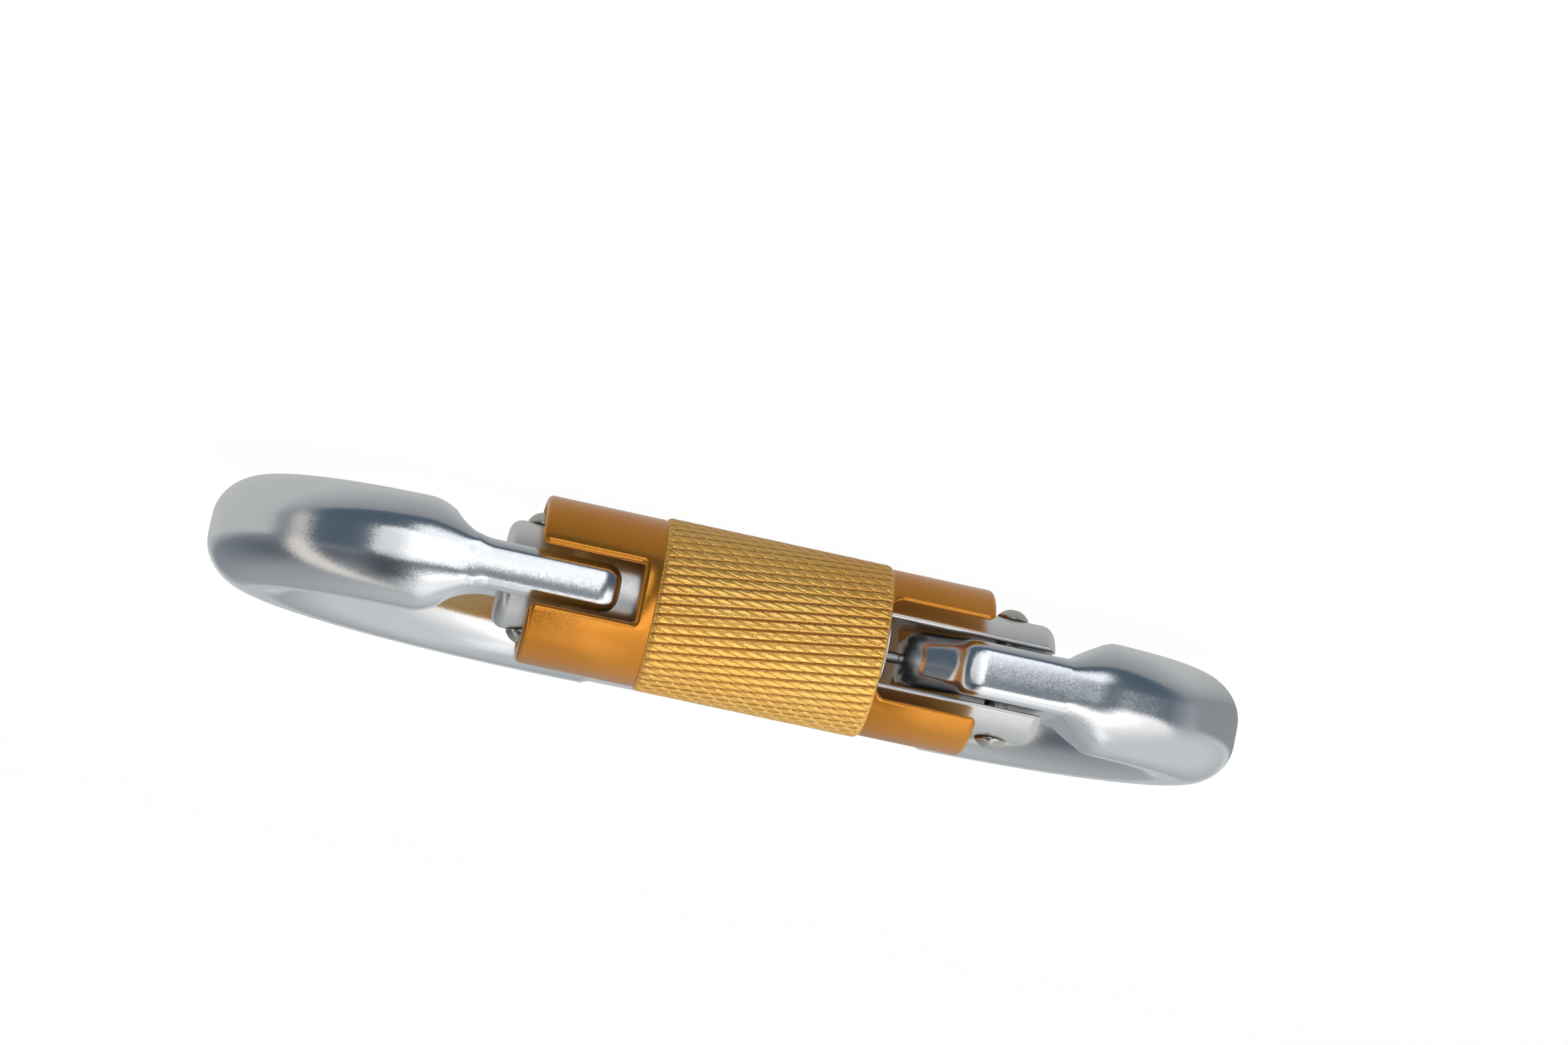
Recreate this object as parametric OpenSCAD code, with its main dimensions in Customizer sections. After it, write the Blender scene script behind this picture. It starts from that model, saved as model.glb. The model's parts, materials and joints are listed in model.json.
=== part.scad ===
// Twist-lock carabiner: forged frame, slotted swinging gate and a quarter-turn locking sleeve.
// It lies flat in the XY plane. X runs along the gate axis from the hinge to the nose,
// -Y is the gate side, +Y is the spine side, and Z is normal to the frame's mid-plane.
// All lengths are in millimetres.

/* [Frame] */
// From the hinge rivet out to the hinge end of the frame
hinge_reach = 27.4; // [26:0.1:34]
// From the latch rivet out to the nose end of the frame
nose_reach = 33.5; // [31:0.1:40]
// Width of the forged rod, seen from above
rod_w = 11.5; // [10.6:0.1:12.4]
// Thickness of the forged rod along Z
rod_h = 11.65; // [10.6:0.05:12.6]
// Edge radius of the rod's section
rod_edge_r = 4.8; // [3:0.1:5]
// Radius of the rod's centre line where it leaves the hinge
hinge_bend_r = 10.25; // [8.5:0.25:12]
// Radius of the centre line round the hinge end
hinge_arc_r = 29; // [26:0.5:32]
// Radius of the centre line where it leaves the nose
nose_bend_r = 16; // [13:0.5:18]
// Slope of the spine, away from the gate towards the nose end
spine_slope = 10; // [6:0.5:13]
// Depth of the flat panel on each face of the spine
panel_depth = 0.45; // [0.2:0.05:0.8]
// Gap that each end of the flat panel leaves to the bends
panel_inset = 2; // [1:0.5:6]

/* [Nose and tongue] */
// Thickness of the milled nose and hinge tongue along Z
bar_t = 5.1; // [4.4:0.1:5.6]
// Gap between the front face of the nose and tongue and the closed sleeve's bore
bar_gap = 0.6; // [0.5:0.05:0.8]
// From the gate axis in to the back face of the hinge tongue
tongue_back = 4.4; // [4:0.1:4.6]
// From the hinge rivet to the tip of the hinge tongue
tongue_tip = 10.7; // [9.5:0.1:11.2]
// Gap between the tip of the hinge tongue and the end of the sleeve's slot
tongue_end_gap = 2.72; // [2.4:0.02:3.2]
// From the latch rivet to the tip of the nose
nose_tip = 8.6; // [7.6:0.1:9.2]
// Gap between the tip of the nose and the end of the sleeve's slot
nose_end_gap = 1.79; // [1.6:0.01:2.4]
// How far the nose hook reaches behind the gate axis
hook_back = 1.5; // [1.2:0.1:2]
// How far the tongue's front has fallen back at its tip
tongue_relief = 3.4; // [3.2:0.1:3.8]
// From the hinge rivet to the start of the shoulder
hinge_shoulder = 4.2; // [4.2:0.1:6]
// Length of the shoulder ramp at the hinge
hinge_ramp = 7.2; // [5:0.1:9]
// From the latch rivet to the start of the shoulder
nose_shoulder = 5; // [4.8:0.1:7]
// Length of the shoulder ramp at the nose
nose_ramp = 6.8; // [5:0.1:9]

/* [Gate] */
// Diameter of the gate barrel
barrel_d = 12.56; // [11.8:0.02:12.8]
// How far the ears at the nose end are turned down, in radius
nose_ear_step = 0.68; // [0.4:0.02:1]
// From the hinge rivet to the end of the hinge ears
hinge_ear = 4.35; // [3.4:0.05:4.6]
// From the latch rivet to the end of the nose ears
nose_ear = 3.3; // [2.6:0.05:3.8]
// Gap on each side of the nose and tongue in the gate's slots
slot_gap = 0.77; // [0.5:0.01:0.9]
// From the latch rivet back to the full barrel
nose_neck = 3.6; // [3:0.1:5]
// Radius of the cutter that mills the hinge slot
hinge_cutter_r = 15; // [13:0.5:20]
// Radius of the cutter that mills the nose slot
nose_cutter_r = 9; // [8.8:0.1:9.4]
// How far behind the gate axis the nose slot's floor lies
nose_floor = 3; // [2.6:0.1:3.6]

/* [Rivets] */
// Diameter of both rivets' shanks
rivet_d = 2.5; // [2:0.05:2.9]
// Diameter of the rivet heads
rivet_head_d = 3.24; // [3.1:0.02:3.6]
// Height of the hinge rivet's heads above their seats
hinge_head_h = 1.2; // [0.8:0.05:1.3]
// Height of the latch rivet's heads above their seats
latch_head_h = 1.4; // [0.8:0.05:1.6]
// Depth of the flat seats under the rivet heads
seat_depth = 0.12; // [0.05:0.01:0.3]
// Diameter of the punch mark in each head
dimple_d = 0.84; // [0.5:0.02:1.2]

/* [Gate spring] */
// Diameter of the blind bore that holds the gate spring
spring_bore_d = 3.2; // [3:0.05:3.4]
// How far behind the gate axis the bore lies
spring_bore_y = 1.5; // [1.2:0.1:1.8]
// Length of the bore past the centre of the slot's end
spring_bore_len = 13.7; // [12:0.1:15]
// Wire diameter of the gate spring
gate_wire_d = 0.45; // [0.35:0.05:0.55]
// Number of turns in the gate spring
gate_turns = 7; // [5:1:8]
// Diameter of the plunger's tip
plunger_tip_d = 1.2; // [1:0.1:2.4]
// Length of the plunger's tip
plunger_tip_len = 2.4; // [2:0.1:3]
// Length of the plunger's guided body
plunger_len = 4.7; // [3.5:0.1:6]
// Length of the stub that centres the spring
plunger_stub_len = 1.6; // [1:0.1:2]

/* [Sleeve] */
// Height of the knurled band over the smooth ends
knurl_h = 0.3; // [0.2:0.05:0.6]
// Length of the knurled band
knurl_len = 23.76; // [21:0.02:26]
// Wall of the sleeve's smooth ends
sleeve_wall = 1; // [0.8:0.05:1.3]
// Height of the inner lands, which leave room for the torsion spring
land_h = 1.37; // [1.3:0.01:1.6]
// From the hinge rivet to the sleeve's end
hinge_prong_gap = 2.7; // [2.2:0.1:3.4]
// How far the sleeve reaches past the latch rivet
nose_prong_over = 0.18; // [0:0.02:0.6]
// Gap on each side of the tongue in the sleeve's slot
sleeve_hinge_gap = 2.5; // [1.5:0.05:2.7]
// Gap on each side of the nose in the sleeve's slot
sleeve_nose_gap = 0.45; // [0.3:0.01:0.7]
// Depth of the smooth ring between the knurl and the nose slot
nose_ring = 1.73; // [1.2:0.05:2.2]
// Length of each inner land that rides on the barrel
land_len = 2.9; // [2.4:0.1:3.2]
// Turn of the sleeve from open to locked
sleeve_turn = 90; // [75:5:90]

/* [Sleeve spring and stop] */
// Wire diameter of the sleeve's torsion spring
sleeve_wire_d = 0.6; // [0.5:0.05:0.7]
// Number of turns in the torsion spring
sleeve_turns = 8; // [5:1:10]
// Diameter of the stop pin
stop_pin_d = 1.5; // [1.2:0.1:1.7]
// How far the stop pin stands out of the barrel
stop_pin_out = 0.75; // [0.6:0.05:0.8]

/* [Hidden] */
$fn = 64;

// Clearances
run_gap = 0.05; // radial running fit of a shaft in its bore
fixed_gap = 0.02; // radial gap of a pin that is fixed in its hole
seat_gap = 0.05; // end gap between a piece and what it seats on
head_gap = 0.1; // radial gap round a rivet head in its flat seat
notch_gap = 0.15; // radial gap between the latch rivet and the nose's notch
nose_slot_gap = 1.4; // gap between the nose's round back and the end of its slot
spring_gap = 0.1; // radial gap between the gate spring and its bore
stub_gap = 0.35; // radial gap between the gate spring and the plunger's stub
anchor_gap = 0.3; // radial gap round a spring leg in its hole
groove_gap = 0.15; // gap above the stop pin in its groove
groove_side_gap = 0.1; // gap beside the stop pin in its groove
over = 1; // how far a cutting shape runs past the solid
lap = 0.1; // how far two joined shapes run into each other
hinge_lip = 0.12; // from the sleeve's slot end to the end of the gate's hinge slot
nose_lip = 0.21; // how far the gate's nose slot runs past the sleeve's slot end

// Shading of the pieces
aluminium = [0.78, 0.80, 0.82];
steel = [0.70, 0.69, 0.67];
gold = [0.90, 0.55, 0.12];
spring_steel = [0.55, 0.55, 0.57];

// Steps along curves that are drawn point by point
arc_steps = 10;
edge_steps = 5;
station_gap = 2.2;
curl_rings = 8;

// Radii about the gate axis, from the inside out
barrel_r = barrel_d / 2;
nose_ear_r = barrel_r - nose_ear_step;
land_r = barrel_r + run_gap;
bore_r = land_r + land_h;
sleeve_r = bore_r + sleeve_wall;
knurl_r = sleeve_r + knurl_h;
bar_front = bore_r - bar_gap;
hinge_seat_z = barrel_r - seat_depth;
latch_seat_z = nose_ear_r - seat_depth;

// Widths of the slots
slot_w = bar_t + 2 * slot_gap;
hinge_slot_w = bar_t + 2 * sleeve_hinge_gap;
nose_slot_w = bar_t + 2 * sleeve_nose_gap;

// Places along the gate axis, from the centre of the knurled band
knurl_x = knurl_len / 2;
land_x = knurl_x - land_len;
nose_slot_x = knurl_x + nose_ring;
hinge_x = -knurl_x - tongue_end_gap - tongue_tip;
latch_x = nose_slot_x + nose_end_gap + nose_tip;
hinge_shoulder_x = hinge_x - hinge_shoulder;
nose_shoulder_x = latch_x + nose_shoulder;
barrel_x0 = hinge_x - hinge_ear;
barrel_x1 = latch_x + nose_ear;
neck_x = latch_x - nose_neck;
sleeve_x0 = hinge_x + hinge_prong_gap;
sleeve_x1 = latch_x + nose_prong_over;

// Centre line of the frame
bar_y = -bar_front + rod_w / 2;
hinge_end_x = hinge_x - hinge_reach + rod_w / 2;
nose_end_x = latch_x + nose_reach - rod_w / 2;
hinge_bend = [hinge_end_x + hinge_bend_r, bar_y + hinge_bend_r];
hinge_arc = [hinge_end_x + hinge_arc_r, bar_y + hinge_bend_r];
nose_bend = [nose_end_x - nose_bend_r, bar_y + nose_bend_r];
spine_n = [-sin(spine_slope), cos(spine_slope)];
spine_c = spine_n * hinge_arc + hinge_arc_r;
nose_arc_r = (spine_c - spine_n * [nose_end_x, nose_bend.y]) / (1 + sin(spine_slope));
nose_arc = [nose_end_x - nose_arc_r, nose_bend.y];
spine_a = hinge_arc + hinge_arc_r * spine_n;
spine_b = nose_arc + nose_arc_r * spine_n;
spine_len = norm(spine_b - spine_a);

// Centre of the whole object's box, which is the origin of the part
box_x = (hinge_x - hinge_reach + latch_x + nose_reach) / 2;
box_y = (nose_arc.y + nose_arc_r + rod_w / 2 - knurl_r) / 2;

// Shape of the tongue, measured from the hinge rivet
tongue_edge_r = 0.9;
tongue_tip_r = 1.5;
tongue_heel_r = 0.8;
relief_x = 4.7;
relief_step = [0.5, 1.5];

// Shape of the nose, measured from the latch rivet
nose_tip_r = 1.3;
hook_inset = 0.5;
hook_root = 1.4;

// Centres of the two slot cutters
hinge_mill_y = -3;
hinge_mill = [-knurl_x - hinge_lip - hinge_cutter_r, hinge_mill_y];
nose_mill = [nose_slot_x - nose_lip + nose_cutter_r, nose_floor - nose_cutter_r];

// Edge rounding and chamfers
hinge_ear_edge = 1.3;
nose_ear_edge = 1.4;
knurl_edge = 0.4;
rivet_rim_h = 0.35;
dimple_depth = 0.25;

// Gate spring and plunger
hinge_slot_end_x = hinge_mill.x + sqrt(pow(hinge_cutter_r, 2) - pow(spring_bore_y - hinge_mill.y, 2));
spring_bore_x0 = hinge_mill.x;
spring_bore_x1 = hinge_slot_end_x + spring_bore_len;
plunger_x0 = hinge_x + tongue_tip + seat_gap;
plunger_step_x = plunger_x0 + plunger_tip_len;
plunger_x1 = plunger_step_x + plunger_len;
gate_spring_r = spring_bore_d / 2 - gate_wire_d / 2 - spring_gap;
gate_spring_x0 = plunger_x1 + gate_wire_d / 2 + seat_gap;
gate_spring_x1 = spring_bore_x1 - gate_wire_d / 2 - seat_gap;

// Stop pin and the groove that it runs in
stop_x = -(land_x + knurl_x) / 2;
stop_web = 0.6; // metal left between the pin's hole and the spring bore
stop_root_y = spring_bore_y + spring_bore_d / 2 + stop_web;
stop_half_angle = asin(stop_pin_d / 2 / barrel_r) + 1;
groove_r = barrel_r + stop_pin_out + groove_gap;

// Torsion spring: the inner leg is held in the barrel, the outer leg in the sleeve. The radius
// leaves the same gap inside the chords between its points and outside the points.
sleeve_spring_r = (barrel_r + bore_r) / (1 + cos(180 / curl_rings));
sleeve_spring_x = land_x - sleeve_wire_d / 2 - anchor_gap;
anchor_depth = 1.2;
outer_leg_len = 0.5;
outer_leg_angle = 24;
lead_angle = outer_leg_angle / 2;

// Points of an arc round c, from angle a0 to a1
function arc(c, r, a0, a1, n = arc_steps) =
    [for (i = [0:n]) c + r * [cos(a0 + (a1 - a0) * i / n), sin(a0 + (a1 - a0) * i / n)]];

// Moves the gate axis's frame to the part's origin
module place() {
    translate([-box_x, -box_y, 0]) children();
}

// Rectangle with round corners, centred
module round_rect(w, h, r) {
    square([w - 2 * r, h], center = true);
    square([w, h - 2 * r], center = true);
    for (sx = [-1, 1], sy = [-1, 1])
        translate([sx * (w / 2 - r), sy * (h / 2 - r)]) circle(r);
}

// Points of the rod's round-edged section, as [outwards, up]
rod_section = [for (q = [0:3])
    let (sx = q == 0 || q == 3 ? 1 : -1, sy = q < 2 ? 1 : -1)
    each arc([sx * (rod_w / 2 - rod_edge_r), sy * (rod_h / 2 - rod_edge_r)], rod_edge_r,
        90 * q, 90 * q + 90, edge_steps)];

// Stations along the centre line, as [x, y, angle of the outward normal]
function stations(c, r, a0, a1) =
    let (n = max(6, ceil(r * abs(a1 - a0) * PI / 180 / station_gap)))
    [for (i = [0:n]) let (a = a0 + (a1 - a0) * i / n) [c.x + r * cos(a), c.y + r * sin(a), a]];
function tail(v) = [for (i = [1:len(v) - 1]) v[i]];
frame_stations = concat(
    [[nose_shoulder_x, bar_y, -90]],
    stations(nose_bend, nose_bend_r, -90, 0),
    tail(stations(nose_arc, nose_arc_r, 0, 90 + spine_slope)),
    stations(hinge_arc, hinge_arc_r, 90 + spine_slope, 180),
    tail(stations(hinge_bend, hinge_bend_r, 180, 270)),
    [[hinge_shoulder_x, bar_y, 270]]);

// The forged rod, swept round from the nose shoulder to the hinge shoulder
module rod() {
    m = len(frame_stations);
    n = len(rod_section);
    pts = [for (s = frame_stations, p = rod_section) [s.x + p.x * cos(s.z), s.y + p.x * sin(s.z), p.y]];
    sides = [for (i = [0:m - 2], k = [0:n - 1])
        [i * n + k, i * n + (k + 1) % n, (i + 1) * n + (k + 1) % n, (i + 1) * n + k]];
    polyhedron(points = pts, faces = concat(sides,
        [[for (k = [n - 1:-1:0]) k]], [[for (k = [0:n - 1]) (m - 1) * n + k]]));
}

// What the mill takes off one shoulder, above and below the bar; it leaves x = 0 towards +X
module shoulder_cut(ramp_len, free_len) {
    ramp_h = rod_h / 2 - bar_t / 2;
    ramp = [for (i = [0:arc_steps]) [ramp_len * i / arc_steps,
        bar_t / 2 + ramp_h * (1 - cos(180 * i / arc_steps)) / 2]];
    outline = concat([[-free_len, rod_h], [-free_len, bar_t / 2]], ramp, [[ramp_len, rod_h]]);
    for (s = [0, 1]) mirror([0, 0, s]) translate([0, bar_y, 0]) rotate([90, 0, 0])
        linear_extrude(2 * rod_w, center = true) polygon(outline);
}

// Bar with rounded long edges, for the nose and the tongue
module bar_blank(x0, x1) {
    translate([x0, bar_y, 0]) rotate([90, 0, 90]) linear_extrude(x1 - x0)
        round_rect(rod_w, bar_t, tongue_edge_r);
}

// Seen from above, measured from the hinge rivet
module tongue_outline() {
    tip_front = -bar_front + tongue_relief;
    polygon(concat(
        [[-2 * hinge_shoulder, tongue_back], [-2 * hinge_shoulder, -bar_front - over],
            [relief_x, -bar_front - over], [relief_x, -bar_front] + relief_step],
        arc([tongue_tip - tongue_tip_r, tip_front + tongue_tip_r], tongue_tip_r, -70, 0),
        arc([tongue_tip - tongue_heel_r, tongue_back - tongue_heel_r], tongue_heel_r, 0, 90)));
}

// Seen from above, measured from the latch rivet; the hook's back follows the slot's end
module nose_outline() {
    hook_r = nose_cutter_r - nose_slot_gap;
    hook_c = nose_mill - [latch_x, 0];
    tip_angle = 180 - acos((nose_tip + hook_c.x) / hook_r);
    back_angle = 180 - asin((hook_back - hook_c.y) / hook_r);
    back = -bar_front + rod_w;
    polygon(concat(
        [[2 * nose_shoulder, back], [2 * nose_shoulder, -bar_front - over],
            [-nose_tip + nose_tip_r, -bar_front - over]],
        arc([-nose_tip + nose_tip_r, -bar_front + nose_tip_r], nose_tip_r, 270, 180),
        arc(hook_c, hook_r, tip_angle, back_angle),
        [[nose_ear + hook_inset, hook_back], [nose_shoulder + hook_root, back]]));
}

module frame_body() {
    color(aluminium) place() difference() {
        union() {
            difference() {
                rod();
                translate([hinge_shoulder_x, 0, 0]) mirror([1, 0, 0]) shoulder_cut(hinge_ramp, over);
                translate([nose_shoulder_x, 0, 0]) shoulder_cut(nose_ramp, over);
            }
            intersection() {
                bar_blank(hinge_shoulder_x - over, hinge_x + tongue_tip + over);
                translate([hinge_x, 0, -bar_t]) linear_extrude(2 * bar_t) tongue_outline();
            }
            intersection() {
                bar_blank(latch_x - nose_tip - over, nose_shoulder_x + over);
                translate([latch_x, 0, -bar_t]) linear_extrude(2 * bar_t) nose_outline();
            }
        }
        translate([hinge_x, 0, 0]) cylinder(h = rod_h, r = rivet_d / 2 + run_gap, center = true);
        latch_notch();
        spine_panels();
    }
}

// Notch in the nose that the latch rivet swings into
module latch_notch() {
    r = rivet_d / 2 + notch_gap;
    translate([latch_x, 0, 0]) {
        cylinder(h = rod_h, r = r, center = true);
        translate([0, rod_w / 2, 0]) cube([2 * r, rod_w, rod_h], center = true);
    }
}

// Flat panels forged into both faces of the spine
module spine_panels() {
    len = spine_len - 2 * panel_inset;
    for (s = [0, 1]) mirror([0, 0, s])
        translate([spine_a.x, spine_a.y, rod_h / 2 - panel_depth]) rotate([0, 0, spine_slope])
            translate([panel_inset, -rod_w, 0]) cube([len, 2 * rod_w, rod_h]);
}

// Round bar along X with a rounded edge at x0 or x1
module turned_end(r, x_end, x_in, edge_r) {
    s = x_in > x_end ? 1 : -1;
    rotate([0, 90, 0]) rotate_extrude() {
        translate([0, s > 0 ? x_end + edge_r : x_in]) square([r, abs(x_in - x_end) - edge_r]);
        translate([0, s > 0 ? x_end : x_end - edge_r]) square([r - edge_r, edge_r]);
        intersection() {
            translate([r - edge_r, x_end + s * edge_r]) circle(edge_r);
            translate([0, min(x_end, x_in)]) square([r, abs(x_in - x_end)]);
        }
    }
}

// Round bar along X from x0 to x1
module x_cylinder(x0, x1, r, y = 0) {
    translate([x0, y, 0]) rotate([0, 90, 0]) cylinder(h = x1 - x0, r = r);
}

module gate_barrel() {
    color(aluminium) place() difference() {
        union() {
            turned_end(barrel_r, barrel_x0, 0, hinge_ear_edge);
            x_cylinder(-over, neck_x, barrel_r);
            translate([neck_x, 0, 0]) rotate([0, 90, 0])
                cylinder(h = barrel_r - nose_ear_r, r1 = barrel_r, r2 = nose_ear_r);
            turned_end(nose_ear_r, barrel_x1, neck_x, nose_ear_edge);
        }
        hinge_slot();
        nose_slot();
        x_cylinder(spring_bore_x0, spring_bore_x1, spring_bore_d / 2, spring_bore_y);
        rivet_hole(hinge_x, hinge_seat_z);
        rivet_hole(latch_x, latch_seat_z);
        translate([stop_x, 0, 0]) rotate([-90, 0, 0])
            translate([0, 0, stop_root_y]) cylinder(h = barrel_r, r = stop_pin_d / 2 + fixed_gap);
        spring_anchor_hole();
    }
}

// Slot for the tongue, open at both sides
module hinge_slot() {
    translate([hinge_mill.x, hinge_mill.y, 0]) cylinder(h = slot_w, r = hinge_cutter_r, center = true);
    translate([hinge_mill.x - hinge_cutter_r, 0, 0])
        cube([2 * hinge_cutter_r, 2 * barrel_d, slot_w], center = true);
}

// Slot for the nose, open at the front and closed at the back
module nose_slot() {
    translate([nose_mill.x, nose_mill.y, 0]) cylinder(h = slot_w, r = nose_cutter_r, center = true);
    translate([nose_mill.x, nose_floor - 2 * barrel_d, -slot_w / 2])
        cube([barrel_d, 2 * barrel_d, slot_w]);
}

// Cross hole for a rivet, with a flat seat under each head
module rivet_hole(x, seat_z) {
    translate([x, 0, 0]) {
        cylinder(h = 2 * barrel_d, r = rivet_d / 2 + fixed_gap, center = true);
        for (s = [0, 1]) mirror([0, 0, s]) translate([0, 0, seat_z])
            cylinder(h = barrel_d, r = rivet_head_d / 2 + head_gap);
    }
}

// Shank with a domed head at each end
module rivet(x, seat_z, head_h) {
    head_r = rivet_head_d / 2;
    dome_h = head_h - rivet_rim_h;
    dome_r = (pow(head_r, 2) + pow(dome_h, 2)) / (2 * dome_h);
    translate([x, 0, 0]) {
        cylinder(h = 2 * seat_z + rivet_rim_h, r = rivet_d / 2, center = true);
        for (s = [0, 1]) mirror([0, 0, s]) translate([0, 0, seat_z]) difference() {
            union() {
                cylinder(h = rivet_rim_h, r = head_r);
                intersection() {
                    translate([0, 0, head_h - dome_r]) sphere(dome_r);
                    translate([0, 0, rivet_rim_h / 2]) cylinder(h = head_h, r = head_r);
                }
            }
            translate([0, 0, head_h - dimple_depth]) cylinder(h = over, r = dimple_d / 2);
        }
    }
}

module hinge_rivet() {
    color(steel) place() rivet(hinge_x, hinge_seat_z, hinge_head_h);
}

module latch_rivet() {
    color(steel) place() rivet(latch_x, latch_seat_z, latch_head_h);
}

// Pushes on the tongue's tip, behind the gate axis, and so closes the gate
module gate_plunger() {
    color(steel) place() {
        x_cylinder(plunger_x0, plunger_step_x + over, plunger_tip_d / 2, spring_bore_y);
        x_cylinder(plunger_step_x, plunger_x1, spring_bore_d / 2 - run_gap, spring_bore_y);
        x_cylinder(plunger_x1 - over, plunger_x1 + plunger_stub_len,
            spring_bore_d / 2 - gate_wire_d - stub_gap, spring_bore_y);
    }
}

// Tube of radius r swept along the points p; X is never along the path
function unit(v) = v / norm(v);
function tangent(p, i) = unit(p[min(i + 1, len(p) - 1)] - p[max(i - 1, 0)]);
function ring(c, t, r, n) =
    let (u = unit(cross(t, [1, 0, 0])), v = cross(t, u))
    [for (k = [0:n - 1]) c + r * (cos(360 * k / n) * u + sin(360 * k / n) * v)];
module wire(p, r, sides = 6) {
    m = len(p);
    pts = [for (i = [0:m - 1]) each ring(p[i], tangent(p, i), r, sides)];
    sides_of = [for (i = [0:m - 2], k = [0:sides - 1]) each [
        [i * sides + k, (i + 1) * sides + k, i * sides + (k + 1) % sides],
        [i * sides + (k + 1) % sides, (i + 1) * sides + k, (i + 1) * sides + (k + 1) % sides]]];
    start = [for (k = [1:sides - 2]) [0, k, k + 1]];
    last = (m - 1) * sides;
    end = [for (k = [1:sides - 2]) [last, last + k + 1, last + k]];
    polyhedron(points = pts, faces = concat(sides_of, start, end));
}

// Point at angle a about the gate axis, from +Y towards +Z
function round_x(x, r, a) = [x, r * cos(a), r * sin(a)];

gate_spring_path = [for (i = [0:gate_turns * curl_rings])
    let (a = 360 * i / curl_rings, t = i / (gate_turns * curl_rings))
    [0, spring_bore_y, 0] + round_x(gate_spring_x0 + (gate_spring_x1 - gate_spring_x0) * t,
        gate_spring_r, a)];

sleeve_spring_path = concat(
    [round_x(-sleeve_spring_x, barrel_r - anchor_depth + lap, 0),
        round_x(-sleeve_spring_x, barrel_r - lap, 0)],
    [for (i = [0:sleeve_turns * curl_rings])
        let (a = 360 * i / curl_rings + lead_angle, t = i / (sleeve_turns * curl_rings))
        round_x(sleeve_spring_x * (2 * t - 1), sleeve_spring_r, a)],
    [round_x(sleeve_spring_x, bore_r + lap, outer_leg_angle),
        round_x(sleeve_spring_x, bore_r + outer_leg_len, outer_leg_angle)]);

// Least gap of a wire to itself, between points at least most of a turn apart
function self_gap(p, d) = min([for (i = [0:len(p) - 1], j = [i + curl_rings - 2:1:len(p) - 1])
    norm(p[i] - p[j]) - d]);

module gate_spring() {
    color(spring_steel) place() wire(gate_spring_path, gate_wire_d / 2);
    echo(gate_spring_gap = self_gap(gate_spring_path, gate_wire_d));
}

module sleeve_spring() {
    color(spring_steel) place() wire(sleeve_spring_path, sleeve_wire_d / 2);
    echo(sleeve_spring_gap = self_gap(sleeve_spring_path, sleeve_wire_d));
}

// Hole in the barrel for the spring's inner leg
module spring_anchor_hole() {
    translate([-sleeve_spring_x, barrel_r - anchor_depth, 0]) rotate([-90, 0, 0])
        cylinder(h = barrel_d, r = sleeve_wire_d / 2 + anchor_gap);
}

module sleeve_stop_pin() {
    color(steel) place() translate([stop_x, stop_root_y + seat_gap, 0]) rotate([-90, 0, 0])
        cylinder(h = barrel_r + stop_pin_out - stop_root_y - seat_gap, r = stop_pin_d / 2);
}

// Turned shell with the knurled band, the bore and the hinge-side land
module sleeve_shell() {
    chamfer_r = knurl_r - knurl_edge;
    rotate([0, 90, 0]) rotate_extrude() difference() {
        union() {
            translate([0, sleeve_x0]) square([sleeve_r, sleeve_x1 - sleeve_x0]);
            polygon([[0, -knurl_x], [chamfer_r, -knurl_x], [knurl_r, -knurl_x + knurl_edge],
                [knurl_r, knurl_x - knurl_edge], [chamfer_r, knurl_x], [0, knurl_x]]);
        }
        translate([-over, sleeve_x0 - over]) square([bore_r + over, sleeve_x1 - sleeve_x0 + 2 * over]);
    }
    rotate([0, 90, 0]) rotate_extrude()
        translate([land_r, -knurl_x]) square([bore_r - land_r + lap, land_len]);
}

// Groove in the hinge-side land that lets the sleeve turn between its stops, from +Y to +Z
module stop_groove() {
    width = stop_pin_d + 2 * groove_side_gap;
    translate([stop_x, 0, 0]) rotate([0, 90, 0]) rotate([0, 0, 90 - stop_half_angle])
        rotate_extrude(angle = sleeve_turn + 2 * stop_half_angle)
            translate([land_r - over, -width / 2]) square([groove_r - land_r + over, width]);
}

module locking_sleeve() {
    color(gold) place() difference() {
        sleeve_shell();
        translate([sleeve_x0 - over, -2 * knurl_r, -hinge_slot_w / 2])
            cube([-knurl_x - sleeve_x0 + over, 2 * knurl_r, hinge_slot_w]);
        translate([nose_slot_x, -2 * knurl_r, -nose_slot_w / 2])
            cube([sleeve_x1 - nose_slot_x + over, 2 * knurl_r, nose_slot_w]);
        stop_groove();
        translate([sleeve_spring_x, 0, 0]) rotate([outer_leg_angle - 90, 0, 0])
            cylinder(h = bore_r + outer_leg_len + anchor_gap, r = sleeve_wire_d / 2 + anchor_gap);
    }
}

// Pressed in from the nose side once the spring is in; it is the sleeve's second land
module sleeve_end_ring() {
    color(gold) place() rotate([0, 90, 0]) rotate_extrude()
        translate([land_r, land_x]) square([bore_r - fixed_gap - land_r, land_len]);
}

frame_body();
gate_barrel();
hinge_rivet();
latch_rivet();
gate_plunger();
gate_spring();
locking_sleeve();
sleeve_end_ring();
sleeve_spring();
sleeve_stop_pin();
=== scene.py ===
"""Looks of the auto-locking carabiner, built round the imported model.

Shapes are worked out in millimetres in the gate's frame: X runs along the gate axis towards the
nose and starts at the middle of the knurled band, -Y is the gate side and Z is normal to the frame.
"""

import json
import math

import bmesh
import bpy
import numpy as np
from mathutils import Matrix, Vector


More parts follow.
